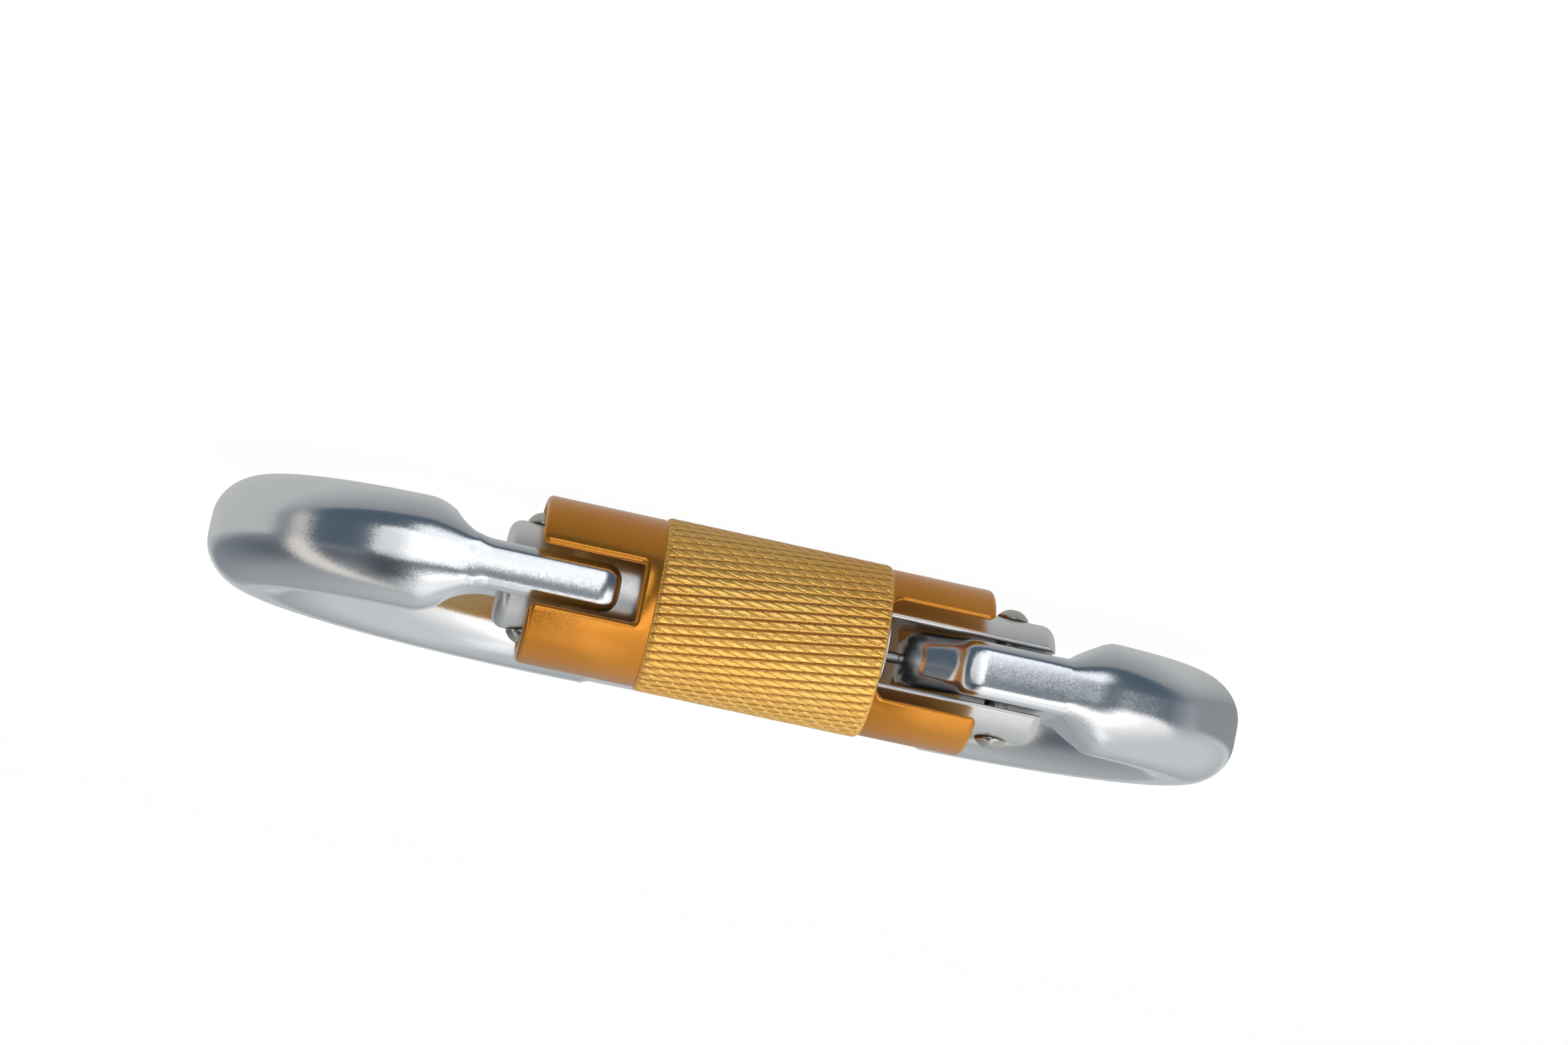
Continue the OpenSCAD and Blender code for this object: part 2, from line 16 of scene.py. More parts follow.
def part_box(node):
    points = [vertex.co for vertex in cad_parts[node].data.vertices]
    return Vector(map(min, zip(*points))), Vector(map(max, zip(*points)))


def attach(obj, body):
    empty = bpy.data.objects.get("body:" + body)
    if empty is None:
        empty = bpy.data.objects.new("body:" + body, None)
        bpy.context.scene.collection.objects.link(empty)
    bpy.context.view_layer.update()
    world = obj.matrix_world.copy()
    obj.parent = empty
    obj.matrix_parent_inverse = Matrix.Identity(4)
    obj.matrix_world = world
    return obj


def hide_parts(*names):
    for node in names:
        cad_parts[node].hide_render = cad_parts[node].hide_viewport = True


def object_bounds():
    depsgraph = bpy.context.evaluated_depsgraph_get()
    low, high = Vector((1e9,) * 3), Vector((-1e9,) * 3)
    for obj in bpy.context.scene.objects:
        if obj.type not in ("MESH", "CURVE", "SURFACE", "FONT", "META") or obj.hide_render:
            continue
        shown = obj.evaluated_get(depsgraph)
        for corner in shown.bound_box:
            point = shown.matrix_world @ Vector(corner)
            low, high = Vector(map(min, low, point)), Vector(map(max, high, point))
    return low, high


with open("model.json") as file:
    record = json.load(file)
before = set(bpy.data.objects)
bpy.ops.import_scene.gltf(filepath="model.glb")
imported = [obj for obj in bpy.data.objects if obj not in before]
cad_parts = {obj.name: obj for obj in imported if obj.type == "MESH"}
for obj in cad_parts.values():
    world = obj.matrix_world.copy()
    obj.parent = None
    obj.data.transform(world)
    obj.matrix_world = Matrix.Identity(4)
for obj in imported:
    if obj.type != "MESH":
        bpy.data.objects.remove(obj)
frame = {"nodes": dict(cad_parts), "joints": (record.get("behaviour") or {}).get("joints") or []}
cad_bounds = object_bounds()

MM = 0.001
PI = math.pi

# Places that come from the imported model
joints = {joint["name"]: joint for joint in frame["joints"]}
ORIGIN = Vector(joints["sleeve_twist"]["pos_m"])
HINGE_X = (joints["gate_hinge"]["pos_m"][0] - ORIGIN.x) / MM


def local_box(node):
    """Lowest and highest corner of a CAD node in the gate's frame, in millimetres."""
    low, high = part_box(node)
    return (low - ORIGIN) / MM, (high - ORIGIN) / MM


latch_low, latch_high = local_box("latch_rivet")
hinge_low, hinge_high = local_box("hinge_rivet")
barrel_low, barrel_high = local_box("gate_barrel")
sleeve_low, sleeve_high = local_box("locking_sleeve")
frame_low, frame_high = local_box("frame_body")
LATCH_X = (latch_low.x + latch_high.x) / 2

# Forged frame: a bent rod whose two ends, the tongue at the hinge and the nose, are milled to bars
ROD_W = 11.5
ROD_H = 11.65
ROD_EDGE = 4.8
BAR_FRONT = -7.1
BAR_Y = BAR_FRONT + ROD_W / 2
BAR_CROWN = 0.26  # how far a front falls back at its long edges
BAR_ROUND = 2.5  # power of that fall across the front
SOFT_ROUND = 2.0  # the same power where the front is rounder: on the nose and the tongue's pillow
EDGE_GROWTH = 0.8  # power at which a bar's edge grows into the rod's
FULL_ROUND = 0.98  # largest edge radius, as a share of half the section
SECTION_ARC_STEPS = 19
SECTION_FLAT_STEPS = 10
TIP_STEPS = 8

# Shoulders: a low step, then the forging's ramp, both cut back by the mill
STEP_LEAD = 0.4  # how far before the shoulder the step starts
STEP_LEN = 1.6
STEP_H = 2.95  # half height on top of the step
MILL_R = 4.6
MILL_REACH = 0.95 * MILL_R
NO_MILL = ROD_H

# Tongue, measured from the hinge rivet. TONGUE_SLOPES gives (x, slope) of its front's fall.
TONGUE_T = 5.8
TONGUE_EDGE = 1.25
TONGUE_TIP = 10.7
TONGUE_TIP_R = 1.8
TONGUE_TIP_INSET = {"front": 0.8, "back": 0.5, "half_h": 0.8}
TONGUE_SLOPES = (2.6, 0.0), (4.4, 0.30), (5.2, 1.05), (6.3, 0.37), (8.2, 0.42), (10.7, 1.0)
PILLOW_X = 3.6  # from here on the front's crown grows by PILLOW_CROWN
PILLOW_LEN = 3.4
PILLOW_CROWN = 1.1
HINGE_SHOULDER = 4.2
HINGE_RAMP = 7.2

# Nose and its hook, measured from the latch rivet
NOSE_T = 5.1
NOSE_EDGE = 1.15
NOSE_CROWN = 0.5
NOSE_TIP = 9.1
NOSE_TIP_R = 2.4
NOSE_TIP_INSET = {"front": 0.9, "back": 0.5, "half_h": 0.55}
NOSE_TIP_DEPTH = 1.2  # least depth of the section at the tip
NOSE_SHOULDER = 5.0
NOSE_RAMP = 6.8
NOSE_CROWN_FADE = 3.0
HOOK_X = -1.6  # HOOK_X, HOOK_Y and HOOK_R are the arc on the back of the hook
HOOK_Y = -6.0
HOOK_R = 7.6
HOOK_BACK = 1.5  # the back is flat from HOOK_FLAT_X to HOOK_END, then rises to the rod's
HOOK_FLAT_X = -0.6
HOOK_END = 3.8
HOOK_RISE = 3.2
NOTCH_DEPTH = 3.0
NOTCH_GAP = 0.15
BORE_GAP = 0.05

# Bends and spine, which has a shallow milled panel on both sides
HINGE_BEND_R = 12.6
HINGE_ARC_R = 26.2
NOSE_BEND_R = 16.0
SPINE_SLOPE = 10.0
PANEL_DEPTH = 0.45
PANEL_INSET = 2.0
PANEL_RAMP = 0.7

# Gate
BARREL_R = barrel_high.z
BARREL_EDGE = 1.3
BARREL_SIDES = 192
NOSE_EAR_R = BARREL_R - 0.68
NECK_X = LATCH_X - 3.6
NECK_LEN = 2.2
EAR_ARC_STEPS = 12
HINGE_SLOT_W = TONGUE_T + 2 * 0.42
NOSE_SLOT_W = NOSE_T + 2 * 0.4
SLOT_EDGE = 0.36
SLOT_EDGE_GAP = 0.004  # keeps the slot's round edges from just touching the barrel's surface
HINGE_SLOT_END = -8
NOSE_SLOT_START = 10
HINGE_MILL = (-27.0, -3.0, 15.0)  # x, y and radius of the mill that ends each slot
HINGE_MILL_END = -36.9
NOSE_MILL = (22.4, -6.0, 9.0)
MILL_HALF = 12  # half width of the mills' cutters, past the barrel on every side
RIVET_R = 1.25
RIVET_GAP = 0.02
RIVET_SIDES = 64
RIVET_BORE_Z = 9
HEAD_R = (hinge_high.x - hinge_low.x) / 2
HEAD_RIM = 0.3
HEAD_GAP = 0.1
SEAT_DEPTH = 0.12
SEAT_LEN = 3
DIMPLE_RIM_R = 0.54
DIMPLE = (0.06, 0.48), (0.14, 0.40), (0.26, 0.2), (0.28, 0.0)  # depth and radius
SPRING_BORE = (-20, 1.5, 0)
SPRING_BORE_R = 1.6
SPRING_BORE_LEN = 21

# Sleeve
KNURL_R = sleeve_high.z
SLEEVE_R = KNURL_R - 0.3
BODY_R = SLEEVE_R - 0.12
BORE_R = SLEEVE_R - 1.0
LAND_R = BARREL_R + 0.05
LAND_LEN = 2.9
SLEEVE_END_R = 0.6
SLEEVE_BEVEL = 0.15
MOUTH_BEVEL = 0.5
SLEEVE_SIDES = 288
KNURL_X = 11.88  # half the knurled band's length
NOSE_SLOT_X = KNURL_X + 1.73
MOUTH_R = 0.75
SLOT_ARC_STEPS = 14
SLOT_STRAIGHT_STEPS = 24
SLOT_END_STEPS = 6
SLOT_OVERRUN = 1.5
SLOT_FLOOR_R = 4.5
SLOT_ROUNDING = (16, 32, 48, 64, 80)  # degrees of the levels that round a slot's edge

# Knurl: nearly axial grooves crossed by shorter slanting cuts
GIRTH = 2 * PI * KNURL_R
KNURL_COUNT = 54
KNURL_PITCH = GIRTH / KNURL_COUNT
KNURL_SLOPE = math.tan(math.radians(-8.7))
KNURL_DEPTH = 0.36
KNURL_DOME = 0.22  # share of the depth that rounds the lands
GROOVE_START = 0.72
GROOVE_ROUND = 1.2
CROSS_SLOPE = math.tan(math.radians(16.8))
CROSS_SPACING = 2.3  # along the sleeve; round it, a whole number of cuts has to fit
CROSS_PITCH = GIRTH / round(GIRTH / (CROSS_SPACING * CROSS_SLOPE))
CROSS_DEPTH = 0.6
CROSS_START = 0.84
KNURL_RINGS = 200
KNURL_COLUMNS = 12 * KNURL_COUNT
KNURL_END_R = 0.7
KNURL_END_DROP = 0.75
KNURL_FADE = 0.5  # over this length the grooves grow to their depth, from KNURL_FADE_START of it
KNURL_FADE_START = 0.1

# Floor, in metres: a sheet that starts below the object's front and fades to plain white
FLOOR_FRONT = -0.031
FLOOR_REACH = 1.6
FLOOR_MATTE = (0.40, 0.41, 0.42)
FLOOR_CAMERA = 0.94  # share of white that the camera sees; the rest keeps the shadow
FLOOR_GLOW = 1.04
# What metal mirrors of the floor: front and back colour, their Y range, side colour, its X range
FLOOR_SHOWN = (0.30, 0.31, 0.32), (0.54, 0.54, 0.53)
FLOOR_FADE = (-0.030, -0.022)
FLOOR_SIDE = (0.28, 0.30, 0.31)
FLOOR_DIM = (-0.066, -0.050)

# Room: colours above and below the horizon, from low to high and from front to rear
HORIZON = (0.058, 0.14)
CEILING = (0.32, 0.345, 0.37), (0.30, 0.31, 0.315)
GROUND = (0.035, 0.07, 0.11), (0.78, 0.77, 0.75)
WHITE_GLOSSY = 0.05  # share of the white background that metal mirrors
# Light and dark boxes: azimuth, elevation, half width, half height, blur and colour
BOXES = (
    (74, 25.5, 51, 18, 0.69, (0.06, 0.08, 0.10)),
    (-66, 72, 34, 16, 0.13, (2.7, 2.6, 2.55)),
    (-46, 34, 27, 35, 0.10, (1.25, 1.18, 1.14)),
    (-6.5, -24, 8, 14, 0.52, (1.42, 1.44, 1.46)),
    (10.5, -4, 15, 14.5, 0.10, (1.75, 1.73, 1.70)),
    (-30.5, 21.5, 11, 22.5, 0.25, (1.46, 1.40, 1.38)),
    (15.5, 40, 11.5, 38.5, 0.64, (0.01, 0.015, 0.03)),
    (-13.5, 38, 8.5, 18, 0.3, (1.7, 1.67, 1.64)),
    (-110, 45.5, 42, 44, 0.38, (0.63, 0.65, 0.65)),
    (69.5, 34, 8.5, 47, 0.24, (0.85, 0.78, 0.70)),
)


def to_row(point):
    """A point of the gate's frame, in millimetres, as a point of the row, in metres."""
    return ORIGIN + Vector(point) * MM


# ---------------------------------------------------------------- shader nodes


def feed(tree, socket, value):
    """Links an output to socket, or sets the socket to a number, vector or colour."""
    if isinstance(value, bpy.types.NodeSocket):
        tree.links.new(value, socket)
    elif socket.type == "RGBA":
        socket.default_value = (*value, 1)
    else:
        socket.default_value = value


def add_node(tree, kind, inputs, **settings):
    """A new node; inputs gives a value or an output for each of its sockets, by name or place."""
    node = tree.nodes.new(kind)
    for name, value in settings.items():
        setattr(node, name, value)
    for key, value in inputs.items():
        feed(tree, node.inputs[key], value)
    return node


def empty_tree(owner):
    """Node tree of a material or world, without nodes."""
    owner.use_nodes = True
    owner.node_tree.nodes.clear()
    return owner.node_tree


def new_material(name):
    """A material with a shader on its surface: the material, its tree and the shader."""
    material = bpy.data.materials.new(name)
    tree = empty_tree(material)
    shader = tree.nodes.new("ShaderNodeBsdfPrincipled")
    add_node(tree, "ShaderNodeOutputMaterial", {"Surface": shader.outputs["BSDF"]})
    return material, tree, shader


def object_position(tree):
    """Position on the object, in metres."""
    return tree.nodes.new("ShaderNodeTexCoord").outputs["Object"]


def noise(tree, vector, scale, detail=2.0, rough=0.5):
    """Noise between 0 and 1 at vector, with about scale blots to the metre."""
    inputs = {"Vector": vector, "Scale": scale, "Detail": detail, "Roughness": rough}
    return add_node(tree, "ShaderNodeTexNoise", inputs).outputs["Fac"]


def map_range(tree, value, low, high, to_low, to_high):
    """Maps low..high to to_low..to_high and holds the ends beyond."""
    limits = {"From Min": low, "From Max": high, "To Min": to_low, "To Max": to_high}
    return add_node(tree, "ShaderNodeMapRange", {"Value": value, **limits}).outputs["Result"]


def mix_colors(tree, factor, first, second):
    """Mixes two colours, each of which is a fixed colour or an output."""
    inputs = {"Factor": factor, "A": first, "B": second}
    return add_node(tree, "ShaderNodeMix", inputs, data_type="RGBA").outputs["Result"]


def math_node(tree, operation, first, second):
    """One operation on two numbers, each of which is fixed or an output."""
    inputs = {0: first, 1: second}
    return add_node(tree, "ShaderNodeMath", inputs, operation=operation).outputs["Value"]


def vector_math(tree, operation, *vectors):
    """One operation on vectors, each of which is fixed or an output."""
    inputs = dict(enumerate(vectors))
    return add_node(tree, "ShaderNodeVectorMath", inputs, operation=operation).outputs["Vector"]


# ---------------------------------------------------------------- materials

FACET = 0.12 * MM
COAT_ROUGH = 0.15


def glitter(tree, position, tilt):
    """Normal that leans at random from one tiny facet to the next."""
    cells = add_node(tree, "ShaderNodeTexVoronoi", {"Vector": position, "Scale": 1 / FACET})
    normal = tree.nodes.new("ShaderNodeNewGeometry").outputs["Normal"]
    lean = vector_math(tree, "SUBTRACT", cells.outputs["Color"], (0.5, 0.5, 0.5))
    lean = vector_math(tree, "MULTIPLY", lean, (tilt, tilt, tilt))
    return vector_math(tree, "NORMALIZE", vector_math(tree, "ADD", lean, normal))


def add_bumps(tree, shader, layers, normal=None):
    """Chains bumps: each layer is a height output, its strength and its depth in millimetres."""
    for height, strength, depth in layers:
        inputs = {"Height": height, "Strength": strength, "Distance": depth * MM}
        if normal is not None:
            inputs["Normal"] = normal
        normal = add_node(tree, "ShaderNodeBump", inputs).outputs["Normal"]
    tree.links.new(normal, shader.inputs["Normal"])


def metal(name, color, tint, rough, grain, sparkle, wave=0.0, coat=0.0, metallic=1.0, groove_shade=None):
    """Metal whose colour drifts towards tint, with rough = (low, high), a fine grain and a sparkle.

    grain and wave are bump strengths, sparkle is the lean of the tiny facets and coat the weight of
    a clear oxide layer. Below 1, metallic leaves a share of matte scatter from the surface's fine
    relief. The last argument is painted shade: a dark colour mixed in towards the bottom of cuts,
    where the mesh's attribute "cut" is 1.
    """
    material, tree, shader = new_material(name)
    position = object_position(tree)
    drift = noise(tree, position, scale=90, detail=3)
    base = mix_colors(tree, map_range(tree, drift, 0.35, 0.65, 0, 1), color, tint)
    # painted shade: mixes a dark colour in towards the bottom of cuts, by the mesh's attribute
    # "cut"
    if groove_shade:
        depth = add_node(tree, "ShaderNodeAttribute", {}, attribute_name="cut")
        base = mix_colors(tree, depth.outputs["Fac"], base, groove_shade)
    patches = noise(tree, position, scale=1500, detail=3, rough=0.6)
    feed(tree, shader.inputs["Metallic"], metallic)
    feed(tree, shader.inputs["Coat Weight"], coat)
    feed(tree, shader.inputs["Coat Roughness"], COAT_ROUGH)
    feed(tree, shader.inputs["Base Color"], base)
    feed(tree, shader.inputs["Roughness"], map_range(tree, patches, 0.3, 0.7, *rough))
    layers = [(noise(tree, position, scale=3200, detail=3, rough=0.6), grain, 0.02)]
    if wave:
        layers.insert(0, (noise(tree, position, scale=170, detail=2), wave, 0.25))
    add_bumps(tree, shader, layers, glitter(tree, position, sparkle))
    return material


def turned_metal(name, color, tint, rough, pitch, depth, metallic=1.0):
    """Metal with fine turning lines round the gate axis, pitch millimetres apart."""
    material, tree, shader = new_material(name)
    position = object_position(tree)
    drift = noise(tree, position, scale=260, detail=3)
    line_inputs = {
        "Vector": position,
        "Scale": 2 * PI / (20 * pitch * MM),  # a wave texture of scale 1 repeats after 2 pi / 20
        "Distortion": 0.6,
        "Detail": 3,
    }
    lines = add_node(tree, "ShaderNodeTexWave", line_inputs, bands_direction="X")
    feed(tree, shader.inputs["Metallic"], metallic)
    feed(tree, shader.inputs["Base Color"], mix_colors(tree, drift, color, tint))
    feed(tree, shader.inputs["Roughness"], map_range(tree, drift, 0.3, 0.7, *rough))
    grain = noise(tree, position, scale=5000)
    add_bumps(tree, shader, [(lines.outputs["Fac"], 0.6, depth), (grain, 0.25, 0.01)])
    return material


FORGED = metal(
    "forged_aluminium",
    color=(0.80, 0.825, 0.85),
    tint=(0.77, 0.80, 0.83),
    rough=(0.175, 0.205),
    grain=0.01,
    sparkle=0.03,
    wave=0.006,
)
BARREL = metal(
    "barrel_aluminium",
    color=(0.80, 0.80, 0.80),
    tint=(0.74, 0.745, 0.75),
    rough=(0.28, 0.36),
    grain=0.08,
    sparkle=0.04,
)
GOLD = metal(
    "anodised_gold",
    color=(0.76, 0.30, 0.032),
    tint=(0.70, 0.265, 0.025),
    rough=(0.22, 0.28),
    grain=0.01,
    sparkle=0.05,
    coat=0.3,
    metallic=0.9,
)
# Knurled band: the sleeve's anodised gold painted lighter and yellower, as painted highlight on its
# crests, with painted shade in its grooves
KNURL_GOLD_PAINTED_LIGHT_AND_SHADE = metal(
    "knurled_gold_painted_light_and_shade",
    color=(1.0, 0.60, 0.145),
    tint=(1.0, 0.54, 0.115),
    rough=(0.15, 0.23),
    grain=0.06,
    sparkle=0.08,
    coat=0.15,
    metallic=0.68,
    # painted shade at the bottom of the knurl's grooves and cuts
    groove_shade=(0.15, 0.035, 0.002),
)
RIVET = metal(
    "rivet_steel",
    color=(0.60, 0.58, 0.55),
    tint=(0.48, 0.46, 0.43),
    rough=(0.12, 0.22),
    grain=0.25,
    sparkle=0.04,
)
WIRE = metal(
    "spring_wire",
    color=(0.5, 0.5, 0.52),
    tint=(0.38, 0.38, 0.4),
    rough=(0.25, 0.4),
    grain=0.3,
    sparkle=0.05,
)
BORE_GOLD = turned_metal(
    "bored_gold",
    color=(1.0, 0.58, 0.14),
    tint=(1.0, 0.50, 0.10),
    rough=(0.30, 0.40),
    pitch=0.26,
    depth=0.05,
    metallic=0.35,
)
TURNED = turned_metal(
    "turned_steel",
    color=(0.62, 0.62, 0.62),
    tint=(0.5, 0.5, 0.5),
    rough=(0.2, 0.32),
    pitch=0.2,
    depth=0.02,
)


# ---------------------------------------------------------------- mesh helpers

MERGE = 1e-8  # in metres


def smooth_step(t):
    """Rises from 0 at 0 to 1 at 1, level at both ends."""
    t = min(1.0, max(0.0, t))
    return t * t * (3 - 2 * t)


def tip_inset(d, radius):
    """How far a rounded tip has drawn in at d from its end."""
    if d >= radius:
        return 0.0
    return radius - math.sqrt(max(0.0, radius**2 - (radius - d) ** 2))


def arc(cx, cy, r, a0, a1, steps):
    """Points on an arc, angles in degrees."""
    angles = [math.radians(a0 + (a1 - a0) * i / steps) for i in range(steps + 1)]
    return [(cx + r * math.cos(a), cy + r * math.sin(a)) for a in angles]


def make_object(name, verts, faces, *materials):
    """A mesh object from points of the gate's frame, in millimetres."""
    mesh = bpy.data.meshes.new(name)
    mesh.from_pydata([tuple(to_row(v)) for v in verts], [], [list(f) for f in faces])
    for material in materials:
        mesh.materials.append(material)
    piece = bpy.data.objects.new(name, mesh)
    bpy.context.scene.collection.objects.link(piece)
    face_outwards(mesh)
    return piece


def face_outwards(mesh, merge=0.0):
    """Turns every face outwards and shades it smooth, once points closer than merge have joined."""
    work = bmesh.new()
    work.from_mesh(mesh)
    if merge:
        bmesh.ops.remove_doubles(work, verts=work.verts, dist=merge)
    bmesh.ops.recalc_face_normals(work, faces=work.faces)
    work.to_mesh(mesh)
    work.free()
    mesh.shade_smooth()


def strips(count, sides, closed=False):
    """Faces between count rings of points; closed joins the last ring to the first."""
    return [
        (i * sides + k, i * sides + n, (i + 1) % count * sides + n, (i + 1) % count * sides + k)
        for i in range(count if closed else count - 1)
        for k, n in ((k, (k + 1) % sides) for k in range(sides))
    ]


def loft(name, rings, *materials, hubs=None):
    """Closed surface through rings of equally many points, with a fan over each end.

    hubs are the points the fans start from, for rings that their own middles don't see all of.
    """
    rings = np.asarray(rings, float)
    count, sides = rings.shape[:2]
    verts = list(rings.reshape(-1, 3))
    faces = strips(count, sides)
    for end, start in enumerate((0, (count - 1) * sides)):
        centre = len(verts)
        verts.append(hubs[end] if hubs else rings[(0, -1)[end]].mean(0))
        faces += [(centre, start + k, start + (k + 1) % sides) for k in range(sides)]
    return make_object(name, verts, faces, *materials)


def loop_loft(name, rings, *materials):
    """Surface through rings, the last of which joins the first."""
    rings = np.asarray(rings, float)
    return make_object(name, list(rings.reshape(-1, 3)), strips(*rings.shape[:2], True), *materials)


def turned(name, profile, sides, *materials):
    """Solid of revolution about the gate axis. profile is a closed loop of (x, radius) points."""
    angles = np.arange(sides) * 2 * PI / sides
    verts = [(x, r * math.cos(a), r * math.sin(a)) for x, r in profile for a in angles]
    radii = [r for _, r in profile]
    faces = [
        face
        for face in strips(len(profile), sides, True)
        if radii[face[0] // sides] or radii[face[2] // sides]
    ]
    piece = make_object(name, verts, faces, *materials)
    face_outwards(piece.data, MERGE)
    return piece


def cylinder(name, base, axis, radius, length, sides=64):
    """Cylinder from base along axis, used as a cutter."""
    axis = Vector(axis).normalized()
    side = axis.orthogonal().normalized()
    other = axis.cross(side)
    rings = [
        [
            Vector(base) + axis * h + (side * math.cos(a) + other * math.sin(a)) * radius
            for a in np.arange(sides) * 2 * PI / sides
        ]
        for h in (0, length)
    ]
    return loft(name, rings)


def prism(name, outline, z):
    """Straight prism over an outline in the XY plane, from -z to z."""
    return loft(name, [[(x, y, end) for x, y in outline] for end in (-z, z)])


def cut(piece, *cutters, operation="DIFFERENCE"):
    """Subtracts the cutters from piece, or keeps what both share, and deletes the cutters."""
    for cutter in cutters:
        modifier = piece.modifiers.new("cut", "BOOLEAN")
        modifier.operation = operation
        modifier.solver = "EXACT"
        modifier.object = cutter
    graph = bpy.context.evaluated_depsgraph_get()
    mesh = bpy.data.meshes.new_from_object(piece.evaluated_get(graph))
    piece.modifiers.clear()
    uncut = piece.data
    piece.data = mesh
    bpy.data.meshes.remove(uncut)
    for cutter in cutters:
        bpy.data.objects.remove(cutter)


def crisp(piece, angle):
    """Keeps edges sharper than angle, in degrees, crisp."""
    piece.data.set_sharp_from_angle(angle=math.radians(angle))


def finish_piece(piece, body, slot, *nodes):
    """Hands a piece to its body and hides the CAD nodes it replaces; slot is not used."""
    if nodes:
        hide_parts(*nodes)
    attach(piece, body)


# ---------------------------------------------------------------- frame body

hinge_shoulder_x = HINGE_X - HINGE_SHOULDER
nose_shoulder_x = LATCH_X + NOSE_SHOULDER
hinge_end_x = frame_low.x + ROD_W / 2
nose_end_x = frame_high.x - ROD_W / 2
slope = math.radians(SPINE_SLOPE)
hinge_bend = (hinge_end_x + HINGE_BEND_R, BAR_Y + HINGE_BEND_R)
hinge_arc = (hinge_end_x + HINGE_ARC_R, BAR_Y + HINGE_BEND_R)
nose_bend = (nose_end_x - NOSE_BEND_R, BAR_Y + NOSE_BEND_R)
# The arc behind the nose's bend gets the radius at which the spine touches both arcs
spine_reach = -math.sin(slope) * hinge_arc[0] + math.cos(slope) * hinge_arc[1] + HINGE_ARC_R
nose_reach = math.sin(slope) * nose_end_x - math.cos(slope) * nose_bend[1]
NOSE_ARC_R = (spine_reach + nose_reach) / (1 + math.sin(slope))
nose_arc = (nose_end_x - NOSE_ARC_R, nose_bend[1])


def forged_half_height(d, ramp, bar):
    """Half the forging's height at d from the start of a shoulder, on a bar of thickness bar."""
    if d <= STEP_LEN:
        return bar / 2 + (STEP_H - bar / 2) * smooth_step((d + STEP_LEAD) / (STEP_LEN + STEP_LEAD))
    t = min(1.0, (d - STEP_LEN) / (ramp - STEP_LEN))
    return STEP_H + (ROD_H / 2 - STEP_H) * math.sin(PI / 2 * t)


def milled_half_height(d, bar):
    """Half the height that the shoulder's mill leaves at d from the start of the shoulder."""
    if d <= 0:
        return bar / 2
    if d >= MILL_REACH:
        return NO_MILL
    return bar / 2 + MILL_R - math.sqrt(MILL_R**2 - d**2)


def tongue_front(x):
    """Front face of the hinge tongue at x from the hinge rivet.

    It falls back towards the tip, so that it clears the turned sleeve when the gate opens.
    """
    fall = 0.0
    for (x0, slope0), (x1, slope1) in zip(TONGUE_SLOPES, TONGUE_SLOPES[1:]):
        reach = min(x, x1) - x0
        if reach > 0:
            fall += reach * (slope0 + (slope1 - slope0) * reach / (2 * (x1 - x0)))
    return BAR_FRONT + fall


def nose_back(x):
    """Back of the nose's hook at x from the latch rivet."""
    if x > HOOK_END:
        rise = smooth_step((x - HOOK_END) / HOOK_RISE)
        return HOOK_BACK + (BAR_FRONT + ROD_W - HOOK_BACK) * rise
    if x >= HOOK_FLAT_X:
        return HOOK_BACK
    return min(HOOK_BACK, HOOK_Y + math.sqrt(max(0.0, HOOK_R**2 - (x - HOOK_X) ** 2)))


def rod_station(x, y, angle):
    """A station of the plain rod at (x, y); front and back lie along angle, in degrees."""
    return {
        "x": x,
        "y": y,
        "angle": angle,
        "front": ROD_W / 2,
        "back": ROD_W / 2,
        "half_h": ROD_H / 2,
        "mill": NO_MILL,
        "edge": ROD_EDGE,
        "crown": BAR_CROWN,
        "round": BAR_ROUND,
    }


def bar_station(x, d, ramp, bar, edge):
    """A station of a bar or its shoulder at x, d past the start of the shoulder."""
    station = rod_station(x, BAR_Y, -90.0)
    station["half_h"] = forged_half_height(d, ramp, bar)
    station["mill"] = milled_half_height(d, bar)
    station["edge"] = edge
    return station


def crown_front(station, crown, share):
    """Brings a station's crown from the bar's to another one, in the share given."""
    station["crown"] = BAR_CROWN + (crown - BAR_CROWN) * share
    station["round"] = BAR_ROUND + (SOFT_ROUND - BAR_ROUND) * share


def draw_in(station, inset, shares):
    """Draws a station's sides in at a rounded tip, each by its share of inset."""
    for side, share in shares.items():
        station[side] -= share * inset


def nose_stations():
    """Stations from the tip of the nose to the end of its shoulder."""
    tip_x = LATCH_X - NOSE_TIP
    flat_end = nose_shoulder_x - 1
    xs = [
        *(x for x, _ in arc(tip_x + NOSE_TIP_R, 0, NOSE_TIP_R, 180, 90, TIP_STEPS)[:-1]),
        *np.arange(tip_x + NOSE_TIP_R, flat_end, 0.25),
        *np.arange(flat_end, nose_bend[0], 0.15),
    ]
    stations = []
    for x in xs:
        d = x - nose_shoulder_x
        station = bar_station(x, d, NOSE_RAMP, NOSE_T, NOSE_EDGE)
        station["back"] = nose_back(x - LATCH_X) - BAR_Y
        draw_in(station, tip_inset(x - tip_x, NOSE_TIP_R), NOSE_TIP_INSET)
        station["back"] = max(station["back"], NOSE_TIP_DEPTH - station["front"])
        crown_front(station, NOSE_CROWN, 1 - smooth_step(d / NOSE_CROWN_FADE))
        stations.append(station)
    return stations


